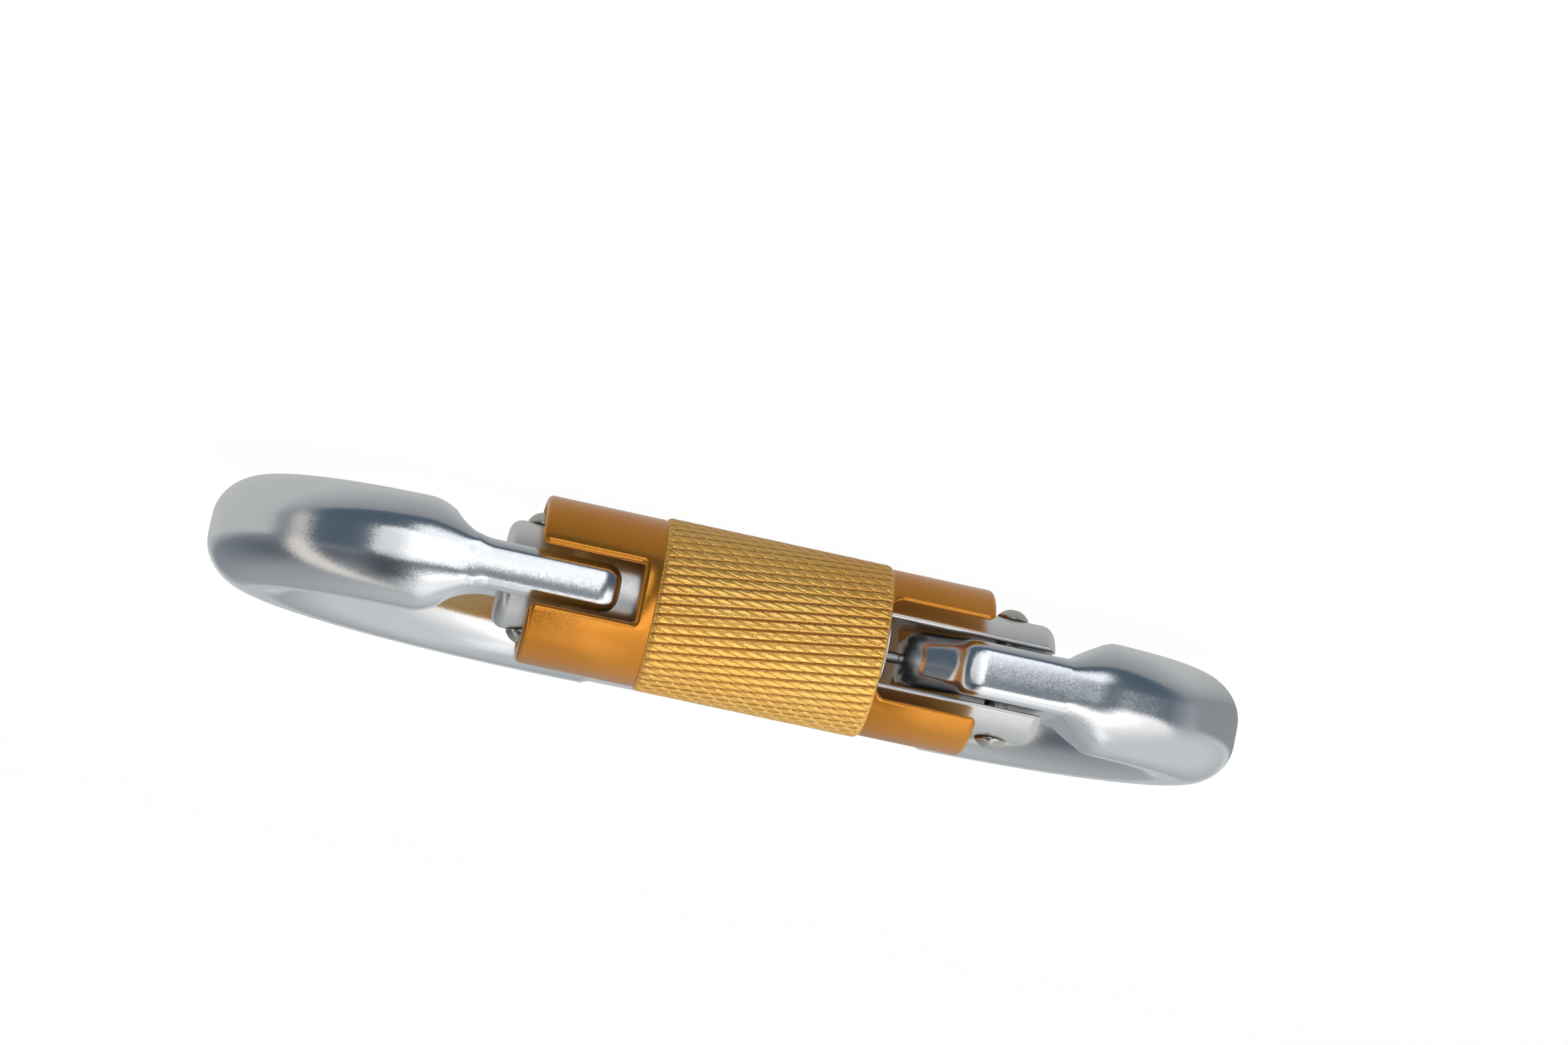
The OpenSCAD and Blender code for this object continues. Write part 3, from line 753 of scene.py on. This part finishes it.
def tongue_stations():
    """Stations from the end of the hinge's bend to the tip of the tongue."""
    tip_x = HINGE_X + TONGUE_TIP
    flat_start = hinge_shoulder_x + 1
    tip_start = tip_x - TONGUE_TIP_R
    xs = [
        *np.arange(hinge_bend[0] + 0.15, flat_start, 0.15),
        *np.arange(flat_start, tip_start, 0.2),
        *(x for x, _ in arc(tip_start, 0, TONGUE_TIP_R, 90, 0, TIP_STEPS)),
    ]
    stations = []
    for x in xs:
        station = bar_station(x, hinge_shoulder_x - x, HINGE_RAMP, TONGUE_T, TONGUE_EDGE)
        station["front"] = BAR_Y - tongue_front(x - HINGE_X)
        draw_in(station, tip_inset(tip_x - x, TONGUE_TIP_R), TONGUE_TIP_INSET)
        pillow = smooth_step((x - HINGE_X - PILLOW_X) / PILLOW_LEN)
        crown_front(station, BAR_CROWN + PILLOW_CROWN, pillow)
        stations.append(station)
    return stations


def arc_stations(centre, radius, a0, a1, step):
    """Stations of the plain rod along a bend, about step apart; angles in degrees."""
    count = max(2, math.ceil(radius * math.radians(abs(a1 - a0)) / step))
    angles = [a0 + (a1 - a0) * i / count for i in range(1, count + 1)]
    return [
        rod_station(
            centre[0] + radius * math.cos(math.radians(angle)),
            centre[1] + radius * math.sin(math.radians(angle)),
            angle,
        )
        for angle in angles
    ]


def hinge_bend_stations():
    """Stations of the hinge's bend, where the shoulder's step and mill begin."""
    stations = arc_stations(hinge_bend, HINGE_BEND_R, 180, 270, step=0.2)
    for station in stations:
        front_x = station["x"] + ROD_W / 2 * math.cos(math.radians(station["angle"]))
        station["half_h"] = forged_half_height(hinge_shoulder_x - front_x, HINGE_RAMP, TONGUE_T)
        station["mill"] = milled_half_height(hinge_shoulder_x - front_x, TONGUE_T)
        station["edge"] = TONGUE_EDGE
    return stations


def spine_stations(step=0.35):
    """Stations of the straight spine, which has a shallow milled panel on both sides."""
    normal = (math.cos(PI / 2 + slope), math.sin(PI / 2 + slope))
    start = [nose_arc[i] + NOSE_ARC_R * normal[i] for i in range(2)]
    end = [hinge_arc[i] + HINGE_ARC_R * normal[i] for i in range(2)]
    length = math.dist(start, end)
    count = math.ceil(length / step)
    stations = []
    for i in range(1, count):
        x, y = (start[k] + (end[k] - start[k]) * i / count for k in range(2))
        station = rod_station(x, y, 90 + SPINE_SLOPE)
        along = length * i / count
        inside = min(along, length - along) - PANEL_INSET
        station["mill"] = ROD_H / 2 - PANEL_DEPTH * smooth_step(inside / PANEL_RAMP + 0.5)
        stations.append(station)
    return stations


def frame_stations():
    """Stations from the tip of the nose round the spine to the tip of the tongue."""
    return [
        *nose_stations(),
        *arc_stations(nose_bend, NOSE_BEND_R, -90, 0, step=0.4),
        *arc_stations(nose_arc, NOSE_ARC_R, 0, 90 + SPINE_SLOPE, step=0.5),
        *spine_stations(),
        *arc_stations(hinge_arc, HINGE_ARC_R, 90 + SPINE_SLOPE, 180, step=0.5),
        *hinge_bend_stations(),
        *tongue_stations(),
    ]


def section(station):
    """Points round one station: a rectangle with round edges, cut flat where a mill ran over it."""
    half_h, front, back = station["half_h"], station["front"], -station["back"]
    grown = min(1.0, max(0.0, (2 * half_h - TONGUE_T) / (ROD_H - TONGUE_T)))
    edge = station["edge"] + (ROD_EDGE - station["edge"]) * grown**EDGE_GROWTH
    edge = min(edge, half_h * FULL_ROUND, (front - back) / 2 * FULL_ROUND)
    # each corner: centre, first angle and the point where the flat stretch after it ends
    corners = (
        (front - edge, half_h - edge, 0, (back + edge, half_h)),
        (back + edge, half_h - edge, 90, (back, edge - half_h)),
        (back + edge, edge - half_h, 180, (front - edge, -half_h)),
        (front - edge, edge - half_h, 270, (front, half_h - edge)),
    )
    loop = []
    for centre_o, centre_z, turn, target in corners:
        loop += arc(centre_o, centre_z, edge, turn, turn + 90, SECTION_ARC_STEPS)
        last = loop[-1]
        for i in range(1, SECTION_FLAT_STEPS + 1):
            t = i / (SECTION_FLAT_STEPS + 1)
            loop.append((last[0] + (target[0] - last[0]) * t, last[1] + (target[1] - last[1]) * t))
    limit = station["mill"]
    angle = math.radians(station["angle"])
    points = []
    for o, z in loop:
        fall = station["crown"] * abs(z / half_h) ** station["round"]
        o -= fall * smooth_step((o - back) / (front - back))
        z = max(-limit, min(limit, z))
        points.append((station["x"] + o * math.cos(angle), station["y"] + o * math.sin(angle), z))
    return points


def build_frame():
    """The forged frame, with the hinge's bore and the notch that takes the latch rivet."""
    body = loft("frame_body_forged", [section(station) for station in frame_stations()], FORGED)
    notch_r = RIVET_R + NOTCH_GAP
    notch = [(LATCH_X - notch_r, NOTCH_DEPTH), *arc(LATCH_X, 0, notch_r, 180, 360, 24)]
    notch.append((LATCH_X + notch_r, NOTCH_DEPTH))
    reach = 8  # past the frame on both sides
    bore_start = (HINGE_X, 0, -reach)
    cut(
        body,
        cylinder("bore_cutter", bore_start, (0, 0, 1), RIVET_R + BORE_GAP, 2 * reach),
        prism("notch_cutter", notch, reach),
    )
    crisp(body, 40)
    finish_piece(body, "frame", "forged_aluminium", "frame_body")


build_frame()


# ---------------------------------------------------------------- gate


def slot_section(radius, width):
    """Cross-section of a through slot that also rounds the ears' edges: (y, z) points, closed."""
    corner_z = width / 2 + SLOT_EDGE
    corner_y = -math.sqrt((radius - SLOT_EDGE - SLOT_EDGE_GAP) ** 2 - corner_z**2)
    lean = math.degrees(math.atan2(corner_z, corner_y))
    corner = arc(corner_y, corner_z, SLOT_EDGE, 270, lean, 10)
    # from the end of the rounding straight out past the barrel
    corner.append(tuple(1.3 * part for part in corner[-1]))
    half = corner + [(y, -z) for y, z in reversed(corner)]
    return half + [(-y, -z) for y, z in half]


def through_slot(name, outline, x0, x1, radius, width):
    """Slot through the barrel: the milled outline in the XY plane, with round edges along X."""
    ring = slot_section(radius, width)
    cutter = loft(name, [[(x, y, z) for y, z in ring] for x in (x0, x1)])
    cut(cutter, prism("mill", outline, MILL_HALF), operation="INTERSECT")
    return cutter


def build_barrel():
    """The gate's barrel: turned, slotted from both ends and bored for rivets and spring."""
    x0, x1 = barrel_low.x, barrel_high.x
    out0, out1 = x0 - 2, x1 + 2
    edge, fall = BARREL_EDGE, BARREL_R - NOSE_EAR_R
    profile = [(x0, 0.0), *arc(x0 + edge, BARREL_R - edge, edge, 180, 90, EAR_ARC_STEPS)]
    for i in range(EAR_ARC_STEPS + 1):
        t = i / EAR_ARC_STEPS
        profile.append((NECK_X + fall - NECK_LEN * (1 - t), BARREL_R - fall * smooth_step(t)))
    profile += [*arc(x1 - edge, NOSE_EAR_R - edge, edge, 90, 0, EAR_ARC_STEPS), (x1, 0.0)]
    barrel = turned("gate_barrel_turned", profile, BARREL_SIDES, BARREL)
    hinge_mill = [(out0, -MILL_HALF), (out0, MILL_HALF), (HINGE_MILL[0], MILL_HALF)]
    hinge_mill += arc(*HINGE_MILL, 90, HINGE_MILL_END, 96)
    mill_x, mill_y, mill_r = NOSE_MILL
    nose_mill = [(out1, -MILL_HALF), (out1, mill_y + mill_r), *arc(*NOSE_MILL, 90, 180, 48)]
    nose_mill.append((mill_x - mill_r, -MILL_HALF))
    neck = NECK_X + fall / 2
    cutters = [
        through_slot("hinge_slot", hinge_mill, x0 - 1, HINGE_SLOT_END, BARREL_R, HINGE_SLOT_W),
        through_slot("nose_slot", nose_mill, NOSE_SLOT_START, neck, BARREL_R, NOSE_SLOT_W),
        through_slot("neck_slot", nose_mill, neck - 0.01, x1 + 1, NOSE_EAR_R, NOSE_SLOT_W),
    ]
    for x, radius in ((HINGE_X, BARREL_R), (LATCH_X, NOSE_EAR_R)):
        start, along, bore_r = (x, 0, -RIVET_BORE_Z), (0, 0, 1), RIVET_R + RIVET_GAP
        cutters.append(cylinder("rivet_cutter", start, along, bore_r, 2 * RIVET_BORE_Z))
        for sign in (-1, 1):
            seat = (x, 0, sign * (radius - SEAT_DEPTH))
            cutters.append(cylinder("seat_cutter", seat, (0, 0, sign), HEAD_R + HEAD_GAP, SEAT_LEN))
    along = (1, 0, 0)
    cutters.append(cylinder("spring_cutter", SPRING_BORE, along, SPRING_BORE_R, SPRING_BORE_LEN))
    cut(barrel, *cutters)
    crisp(barrel, 32)
    finish_piece(barrel, "gate", "barrel_aluminium", "gate_barrel")


def build_rivet(name, node, x, seat, top):
    """Rivet with a domed and dimpled head at each end, turned about X and then stood up along Z."""
    dome_h = top - seat - HEAD_RIM
    dome_r = (HEAD_R**2 + dome_h**2) / (2 * dome_h)
    reach = math.degrees(math.asin(HEAD_R / dome_r))
    dome = [(h, r) for r, h in arc(0, top - dome_r, dome_r, 90 - reach, 90, 20)]
    half = [
        (0.0, RIVET_R),
        (seat - SEAT_DEPTH, RIVET_R),
        (seat, RIVET_R - 0.02),
        (seat + 0.02, HEAD_R - 0.1),
        (seat + 0.1, HEAD_R),
        (seat + HEAD_RIM, HEAD_R),
        *(point for point in dome[1:] if point[1] > DIMPLE_RIM_R),
        *((top - depth, radius) for depth, radius in DIMPLE),
    ]
    profile = [(-h, r) for h, r in reversed(half)] + half[1:]
    piece = turned(name, profile, RIVET_SIDES, RIVET)
    turn = Matrix.Rotation(-PI / 2, 4, "Y")
    place = Matrix.Translation(to_row((x, 0, 0)))
    piece.data.transform(place @ turn @ Matrix.Translation(-to_row((0, 0, 0))))
    crisp(piece, 45)
    finish_piece(piece, "gate", "rivet_steel", node)


build_barrel()
for name, node, x, ear_r, top in (
    ("hinge_rivet_headed", "hinge_rivet", HINGE_X, BARREL_R, hinge_high.z),
    ("latch_rivet_headed", "latch_rivet", LATCH_X, NOSE_EAR_R, latch_high.z),
):
    build_rivet(name, node, x, ear_r - SEAT_DEPTH, top)


# ---------------------------------------------------------------- locking sleeve


def slot_cutter(name, outline, edge, mouth_x):
    """Cutter for a slot in the sleeve's front wall that also rounds the slot's outer edge.

    outline is a closed loop of (x, z) points, which grows along its normals from level to level.
    """
    outline = np.asarray(outline, float)
    along = np.roll(outline, -1, 0) - np.roll(outline, 1, 0)
    along /= np.linalg.norm(along, axis=1)[:, None]
    normal = np.stack([along[:, 1], -along[:, 0]], 1)
    if np.sum((outline - outline.mean(0)) * normal) < 0:
        normal = -normal
    # each level: radius and how far the outline has grown there
    levels = [(SLOT_FLOOR_R, 0.0), (SLEEVE_R - edge, 0.0)]
    for turn in np.radians(SLOT_ROUNDING):
        levels.append((SLEEVE_R - edge * (1 - math.sin(turn)), edge * (1 - math.cos(turn))))
    levels.append((SLEEVE_R + SLOT_OVERRUN, levels[-1][1] + 0.02))
    rings = []
    for radius, grow in levels:
        ring = outline + normal * grow
        rings.append([(x, -math.sqrt(max(0.01, radius**2 - z**2)), z) for x, z in ring])
    return loft(name, rings, hubs=[(mouth_x, -levels[end][0], 0) for end in (0, -1)])


def slot_outline(x_in, x_out, half, root_r):
    """Outline of a slot that opens at x_out; root_r rounds its closed end and MOUTH_R its mouth."""
    s = 1 if x_out > x_in else -1
    quarter = [PI / 2 * i / SLOT_ARC_STEPS for i in range(SLOT_ARC_STEPS + 1)]
    straight = abs(x_out - x_in) - root_r - MOUTH_R
    end_x, end_z = x_out + s * SLOT_OVERRUN, half + MOUTH_R
    upper = [(x_in, 0.0)]
    for a in quarter:
        upper.append((x_in + s * root_r * (1 - math.cos(a)), half - root_r * (1 - math.sin(a))))
    for i in range(1, SLOT_STRAIGHT_STEPS):
        upper.append((x_in + s * (root_r + straight * i / SLOT_STRAIGHT_STEPS), half))
    for a in quarter:
        upper.append((x_out - s * MOUTH_R * (1 - math.sin(a)), half + MOUTH_R * (1 - math.cos(a))))
    for i in range(SLOT_END_STEPS + 1):
        upper.append((end_x, end_z * (1 - i / SLOT_END_STEPS)))
    return upper + [(x, -z) for x, z in reversed(upper[1:-1])]


def build_sleeve():
    """The locking sleeve without its knurled band, slotted for the tongue and the nose."""
    x0, x1 = sleeve_low.x, sleeve_high.x
    end_r = SLEEVE_END_R
    profile = [
        # outside, from the hinge's end to the nose's, sunk under the knurled band
        *arc(x0 + end_r, SLEEVE_R - end_r, end_r, 180, 90, 8),
        (x0 + 5.0, SLEEVE_R),
        (-KNURL_X - SLEEVE_BEVEL, SLEEVE_R),
        (-KNURL_X + 0.1, BODY_R),
        (KNURL_X - 0.1, BODY_R),
        (KNURL_X + SLEEVE_BEVEL, SLEEVE_R),
        (x1 - 5.0, SLEEVE_R),
        *arc(x1 - end_r, SLEEVE_R - end_r, end_r, 90, 0, 8),
        # bore and back, with the land that runs on the barrel
        (x1, BORE_R + SLEEVE_BEVEL * 0.6),
        (x1 - SLEEVE_BEVEL, BORE_R),
        (-KNURL_X + LAND_LEN, BORE_R),
        (-KNURL_X + LAND_LEN, LAND_R),
        (-KNURL_X + 0.1, LAND_R),
        (-KNURL_X, LAND_R + 0.1),
        (-KNURL_X, BORE_R),
        (x0 + MOUTH_BEVEL, BORE_R),
        (x0, BORE_R + 0.7 * MOUTH_BEVEL),
    ]
    sleeve = turned("locking_sleeve_body", profile, SLEEVE_SIDES, GOLD, BORE_GOLD)
    hinge_slot = slot_outline(-KNURL_X, x0, half=5.05, root_r=1.1)
    nose_slot = slot_outline(NOSE_SLOT_X, x1, half=3.0, root_r=0.3)
    cut(
        sleeve,
        slot_cutter("hinge_slot_cutter", hinge_slot, edge=0.5, mouth_x=x0),
        slot_cutter("nose_slot_cutter", nose_slot, edge=0.75, mouth_x=x1),
    )
    for face in sleeve.data.polygons:
        spot = (face.center - ORIGIN) / MM
        inward = face.normal.y * spot.y + face.normal.z * spot.z < 0
        in_bore = inward and math.hypot(spot.y, spot.z) < BORE_R + 0.05
        face.material_index = 1 if in_bore else 0
    crisp(sleeve, 28)
    finish_piece(sleeve, "sleeve", "anodised_gold", "locking_sleeve")


def groove(phase, start=0.0):
    """Share of a groove's depth at phase, which counts grooves: 0 up to start, 1 at the bottom."""
    t = abs(phase - math.floor(phase) - 0.5) * 2
    return max(0.0, (t - start) / (1 - start))


def knurl_depth(x, s):
    """Share of KNURL_DEPTH below the crests at x along the axis and s round the sleeve."""
    phase = (s - x * KNURL_SLOPE) / KNURL_PITCH
    ridge = (1 - KNURL_DOME) * groove(phase, GROOVE_START) ** GROOVE_ROUND
    cross = CROSS_DEPTH * groove((s - x * CROSS_SLOPE) / CROSS_PITCH, CROSS_START)
    return KNURL_DOME * groove(phase) ** 2 + max(ridge, cross)


def build_knurl():
    """The knurled band: a dense sleeve whose columns follow the nearly axial grooves."""
    xs = np.linspace(-KNURL_X, KNURL_X, KNURL_RINGS)
    inner = SLEEVE_R - 0.4
    rings, cuts = [], []
    for x in [xs[0], *xs, xs[-1]]:
        closing = len(rings) in (0, KNURL_RINGS + 1)
        d = min(x - xs[0], xs[-1] - x)
        crest_r = KNURL_R - tip_inset(d, KNURL_END_R) * KNURL_END_DROP
        ring = []
        for k in range(KNURL_COLUMNS):
            s = GIRTH * k / KNURL_COLUMNS + x * KNURL_SLOPE
            depth = knurl_depth(x, s) * smooth_step(d / KNURL_FADE + KNURL_FADE_START)
            cuts.append(0.0 if closing else min(1.0, depth))
            radius = inner if closing else crest_r - KNURL_DEPTH * depth
            angle = s / KNURL_R
            ring.append((x, radius * math.cos(angle), radius * math.sin(angle)))
        rings.append(ring)
    band = loop_loft("knurled_band", rings, KNURL_GOLD_PAINTED_LIGHT_AND_SHADE)
    # how deep each point lies in a groove or cut; the material paints shade there
    band.data.attributes.new("cut", "FLOAT", "POINT").data.foreach_set("value", cuts)
    finish_piece(band, "sleeve", "anodised_gold")


build_sleeve()
build_knurl()

# CAD nodes that stay as they are, with their finish
for node, material in (
    ("gate_plunger", TURNED),
    ("gate_spring", WIRE),
    ("sleeve_spring", WIRE),
    ("sleeve_stop_pin", TURNED),
    ("sleeve_end_ring", BORE_GOLD),
):
    mesh = frame["nodes"][node].data
    mesh.materials.clear()
    mesh.materials.append(material)


# ---------------------------------------------------------------- stage and camera


def mix_shaders(tree, factor, first, second):
    """Output of a mix of two shader nodes, factor being the second one's share."""
    inputs = {0: factor, 1: first.outputs[0], 2: second.outputs[0]}
    return add_node(tree, "ShaderNodeMixShader", inputs).outputs[0]


def white_share(tree, camera, glossy):
    """Share of plain white that camera, glossy and transmitted rays see."""
    path = tree.nodes.new("ShaderNodeLightPath")
    seen = math_node(tree, "MULTIPLY", path.outputs["Is Camera Ray"], camera)
    shown = math_node(tree, "MULTIPLY", path.outputs["Is Glossy Ray"], glossy)
    clear = math_node(tree, "MULTIPLY", path.outputs["Is Transmission Ray"], camera)
    return math_node(tree, "MAXIMUM", math_node(tree, "MAXIMUM", seen, shown), clear)


def build_floor():
    """White sheet under and behind the object: it keeps a soft shadow and fades to plain white."""
    z = cad_bounds[0].z
    corners = [
        (-FLOOR_REACH, FLOOR_FRONT, z),
        (FLOOR_REACH, FLOOR_FRONT, z),
        (FLOOR_REACH, FLOOR_REACH, z),
        (-FLOOR_REACH, FLOOR_REACH, z),
    ]
    mesh = bpy.data.meshes.new("floor")
    mesh.from_pydata(corners, [], [(0, 1, 2, 3)])
    floor = bpy.data.objects.new("floor", mesh)
    bpy.context.scene.collection.objects.link(floor)
    material = bpy.data.materials.new("white_sheet")
    tree = empty_tree(material)
    place = add_node(tree, "ShaderNodeSeparateXYZ", {0: object_position(tree)})
    path = tree.nodes.new("ShaderNodeLightPath")
    fade = map_range(tree, place.outputs["Y"], *FLOOR_FADE, 0, 1)
    dim = map_range(tree, place.outputs["X"], *FLOOR_DIM, 1, 0)
    shown = mix_colors(tree, dim, mix_colors(tree, fade, *FLOOR_SHOWN), FLOOR_SIDE)
    tint = mix_colors(tree, path.outputs["Is Glossy Ray"], (1.0, 1.0, 1.0), shown)
    matte = add_node(tree, "ShaderNodeBsdfDiffuse", {"Color": FLOOR_MATTE})
    glow = add_node(tree, "ShaderNodeEmission", {"Color": tint, "Strength": FLOOR_GLOW})
    surface = mix_shaders(tree, white_share(tree, FLOOR_CAMERA, 1.0), matte, glow)
    add_node(tree, "ShaderNodeOutputMaterial", {"Surface": surface})
    mesh.materials.append(material)


def direction(azimuth, elevation):
    """Direction of an azimuth and elevation in radians; azimuth 0 is the camera's side."""
    level = math.cos(elevation)
    return Vector((math.sin(azimuth) * level, -math.cos(azimuth) * level, math.sin(elevation)))


def dot(tree, split, axis):
    """Dot product of the split vector with a fixed axis."""
    x, y, z = (
        math_node(tree, "MULTIPLY", split.outputs[name], part) for name, part in zip("XYZ", axis)
    )
    return math_node(tree, "ADD", math_node(tree, "ADD", x, y), z)


def soft_box(tree, split, azimuth, elevation, half_width, half_height, blur):
    """1 inside an ellipse of directions, 0 past its blurred rim; all sizes in degrees."""
    az, el, width, height = (math.radians(a) for a in (azimuth, elevation, half_width, half_height))
    towards = direction(az, el)
    right = Vector((math.cos(az), math.sin(az), 0))
    up = right.cross(-towards)
    across = dot(tree, split, right / math.sin(width))
    along = dot(tree, split, up / math.sin(height))
    squares = [math_node(tree, "MULTIPLY", part, part) for part in (across, along)]
    total = math_node(tree, "ADD", *squares)
    inside = map_range(tree, total, (1 + blur) ** 2, (1 - blur) ** 2, 0, 1)
    ahead = math_node(tree, "GREATER_THAN", dot(tree, split, towards), 0.0)
    return math_node(tree, "MULTIPLY", inside, ahead)


def build_world():
    """Pale room, dark slate below the horizon on the camera's side, with soft boxes in it."""
    world = bpy.data.worlds.new("studio")
    bpy.context.scene.world = world
    tree = empty_tree(world)
    coordinates = tree.nodes.new("ShaderNodeTexCoord")
    split = add_node(tree, "ShaderNodeSeparateXYZ", {0: coordinates.outputs["Generated"]})
    above = map_range(tree, split.outputs["Z"], *HORIZON, 0, 1)
    high = map_range(tree, split.outputs["Z"], 0, 0.9, 0, 1)
    rear = map_range(tree, split.outputs["Y"], -0.5, 1.0, 0, 1)
    ceiling = mix_colors(tree, high, *CEILING)
    ground = mix_colors(tree, rear, *GROUND)
    tone = mix_colors(tree, above, ground, ceiling)
    for *shape, color in BOXES:
        tone = mix_colors(tree, soft_box(tree, split, *shape), tone, color)
    room = add_node(tree, "ShaderNodeBackground", {"Color": tone, "Strength": 1.0})
    white = add_node(tree, "ShaderNodeBackground", {"Color": (1, 1, 1), "Strength": 1.0})
    surface = mix_shaders(tree, white_share(tree, 1.0, WHITE_GLOSSY), room, white)
    add_node(tree, "ShaderNodeOutputWorld", {"Surface": surface})


def add_area(name, place, width, height, watts):
    """Soft box at place, in metres, that faces the object and isn't mirrored in it."""
    light = bpy.data.lights.new(name, "AREA")
    light.shape = "RECTANGLE"
    light.size = width
    light.size_y = height
    light.energy = watts
    lamp = bpy.data.objects.new(name, light)
    bpy.context.scene.collection.objects.link(lamp)
    lamp.location = place
    lamp.rotation_euler = (-Vector(place)).to_track_quat("-Z", "Y").to_euler()
    lamp.visible_glossy = False


def build_camera():
    """Camera at the photograph's angle: it looks at the gate side, from a little above, rolled."""
    azimuth, elevation, roll = (math.radians(a) for a in (-5.859, -7.376, 11.567))
    distance, shift_x, shift_y = 402.574, -2.242, -10.784
    focal_px, image_px, sensor_mm = 5900.0, 2352.0, 36.0
    backward = direction(azimuth, elevation)
    right = (-backward).cross(Vector((0, 0, 1))).normalized()
    up = right.cross(-backward)
    right, up = (
        right * math.cos(roll) + up * math.sin(roll),
        up * math.cos(roll) - right * math.sin(roll),
    )
    place = backward * distance - right * shift_x - up * shift_y
    # The fit has X to the picture's right and Z up; the gate's frame has both the other way round
    turn = Matrix.Diagonal((-1, 1, -1))
    axes = Matrix([turn @ right, turn @ up, turn @ backward]).transposed()
    data = bpy.data.cameras.new("camera")
    data.sensor_width = sensor_mm
    data.lens = focal_px / image_px * sensor_mm
    data.clip_start = 0.01
    camera = bpy.data.objects.new("camera", data)
    bpy.context.scene.collection.objects.link(camera)
    camera.matrix_world = Matrix.Translation(to_row(turn @ place)) @ axes.to_4x4()
    bpy.context.scene.camera = camera


build_floor()
build_world()
add_area("overhead_box", (0.0, 0.1, 0.9), width=0.9, height=0.9, watts=1.5)
add_area("front_box", (-0.2, -0.8, 0.45), width=0.7, height=0.5, watts=6.0)
build_camera()
bpy.context.scene.view_settings.view_transform = "Standard"
